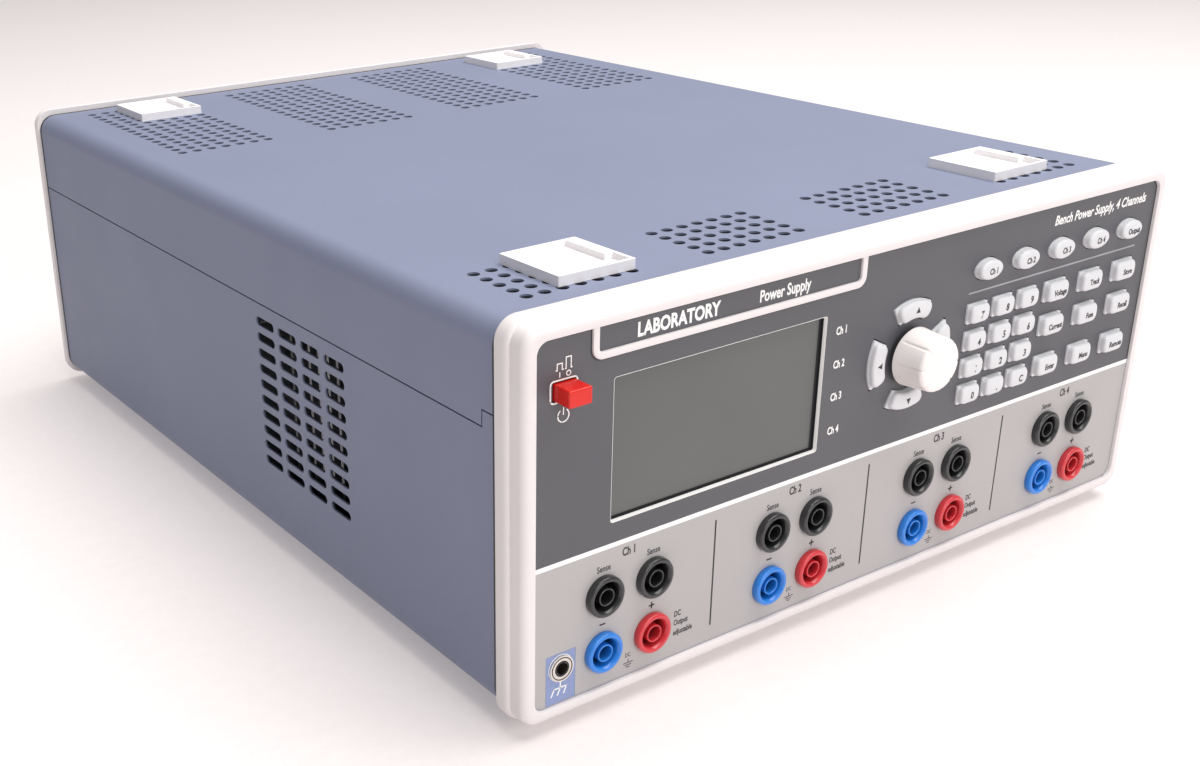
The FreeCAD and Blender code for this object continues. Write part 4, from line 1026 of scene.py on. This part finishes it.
def make_interface():
    """The interface plate's knurled screws, square, network and serial ports, and their inserts."""
    shells, inserts = bmesh.new(), bmesh.new()
    face = PANEL_BACK + MODULE_THICK
    for x in (MODULE_X - 49, MODULE_X + 49):
        lathe(shells, [(0, face + 6), (2.6, face + 6), (3.2, face + 5.6), (3.2, face + 1),
                       (2.4, face + 0.6), (2.4, face - 0.2), (0, face - 0.2)], (x, MODULE_Z), 40)
    box_shell(shells, SQUARE_PORT, (12.2, 11), face - 0.3, face + 3, 0.7, 2.4)
    box_shell(shells, NETWORK_PORT, (16, 13.4), face - 0.3, face + 1.2, 1.2, 1.1)
    box_shell(shells, SERIAL_PORT, (31, 12.6), face - 0.3, face + 0.8, 1.0, 0.1)
    box_shell(shells, SERIAL_PORT, (18.6, 9.4), face + 0.2, face + 5.8, 0.6, 5)
    for x in (SERIAL_PORT - 12.4, SERIAL_PORT + 12.4):
        lathe(shells, [(0, face + 4), (1.7, face + 4), (2.2, face + 3.5), (2.2, face), (0, face)],
              (x, MODULE_Z), 6)
    box_shell(inserts, SQUARE_PORT, (10.7, 9.5), face + 0.3, face + 2.4, 1.6, 1.9)
    box_shell(inserts, NETWORK_PORT, (13.5, 10.9), face - 0.2, face + 1.0, 1.3, 1.0)
    box_shell(inserts, SERIAL_PORT, (17.2, 8.0), face + 0.4, face + 5.2, 1.0, 0.2)
    clean(shells)
    clean(inserts)
    make_piece("interface_metal", shells, [nickel], "casing", "steel", 30)
    make_piece("interface_inserts", inserts, [black_plastic], "casing", "connector_plastic", 30)
    turned("interface_pins", [(0, 5.5), (0.5, 5.5), (0.5, 5), (0, 5)],
           [(SERIAL_PORT + (pin - (count - 1) / 2) * 2.77, MODULE_Z + row)
            for row, count in ((1.4, 5), (-1.4, 4)) for pin in range(count)], 12, face)


def print_back():
    """Names of the outputs, the interface and the inlet, read from behind."""
    ink = Print(lambda x, y, z: at(-x, y, z), lambda u, v: PANEL_BACK, 1)
    for channel in range(4):
        x = -(BLOCK_X + channel * BLOCK_PITCH)
        ink.text(f"Ch {channel + 1}", x, BLOCK_Z + 8.2, 2.8, 0.74, 0.03)
        ink.text("+", x + 14.7, BLOCK_Z - 8.2, 2.4, 0.9, 0.03)
        ink.text("-", x - 14.7, BLOCK_Z - 8.2, 2.4, 0.9, 0.03)
    ink.text("Interface", -MODULE_X, 49.5, 2.8, 0.76, 0.03)
    ink.text("AC input", -98, 50.5, 2.8, 0.76, 0.03)
    ink.done("print_back", ink_white, "casing", "rear_steel")


make_fascia()
make_panel_screws()
turned("clamp_screws", [(0, 0.6), (1.0, 0.6), (1.15, 0.45), (1.15, -0.2), (0, -0.2)],
       [(BLOCK_X + channel * BLOCK_PITCH + (pole - (POLES - 1) / 2) * POLE_PITCH, BLOCK_Z + 1.2)
        for channel in range(4) for pole in range(POLES)], 20, PANEL_BACK)
make_interface()
print_back()
make_front_frame()
make_gap_lining()
make_display_surround()
make_display_mask()
make_keys()
make_arrow_keys()
make_knob()
make_sockets()
print_fascia()
print_keys()


# ---------------------------------------------------------------- floor, light, camera

def make_floor():
    mesh = bpy.data.meshes.new("floor")
    reach = 6
    mesh.from_pydata([(-reach, -reach, 0), (reach, -reach, 0), (reach, reach, 0),
                      (-reach, reach, 0)], [], [(0, 1, 2, 3)])
    floor = bpy.data.objects.new("floor", mesh)
    bpy.context.scene.collection.objects.link(floor)
    finish = Finish("pale_floor", 0.6, specular=0.3)
    finish.vary(colour(208, 201, 200), 300, 0.01, 6, 0.02)
    finish.bump(finish.noise(5, 2), 0.6, 0.5)
    finish.set(Emission_Color=colour(255, 247, 246), Emission_Strength=0.28)
    mesh.materials.append(finish.material)


def make_light(name, energy, place, target, size, tone=(1, 1, 1)):
    """A square area light that looks from its place at a target, in metres."""
    lamp = bpy.data.lights.new(name, "AREA")
    lamp.energy, lamp.color, lamp.size = energy, tone, size
    holder = bpy.data.objects.new(name, lamp)
    holder.location = place
    holder.rotation_euler = (Vector(target) - Vector(place)).to_track_quat("-Z", "Y").to_euler()
    bpy.context.scene.collection.objects.link(holder)


def make_world(strength, tone):
    world = bpy.data.worlds.new("studio")
    world.use_nodes = True
    world.node_tree.nodes["Background"].inputs["Color"].default_value = tone
    world.node_tree.nodes["Background"].inputs["Strength"].default_value = strength
    bpy.context.scene.world = world


def make_camera():
    """The camera stands to the left of the front and above it, with its view shifted sideways."""
    camera = bpy.data.cameras.new("camera")
    camera.sensor_width, camera.lens = 36, 44.19
    camera.shift_x, camera.shift_y = 0.15243, 0.03554
    camera.clip_start = 0.01
    holder = bpy.data.objects.new("camera", camera)
    holder.location = (-0.35546, -0.461473, 0.256786)
    holder.rotation_euler = [math.radians(angle) for angle in (66.5773, 1.5515, -33.0724)]
    bpy.context.scene.collection.objects.link(holder)
    bpy.context.scene.camera = holder


make_floor()
make_world(0.36, (0.93, 0.965, 1, 1))
make_light("overhead", 38, (0.35, -0.1, 1.5), (0, 0, 0), 1.6, (1, 0.98, 0.95))
make_light("front_fill", 14, (-0.2, -1.8, 0.8), (0, -0.1, 0.05), 1.0)
make_camera()
bpy.context.scene.view_settings.view_transform = "Standard"
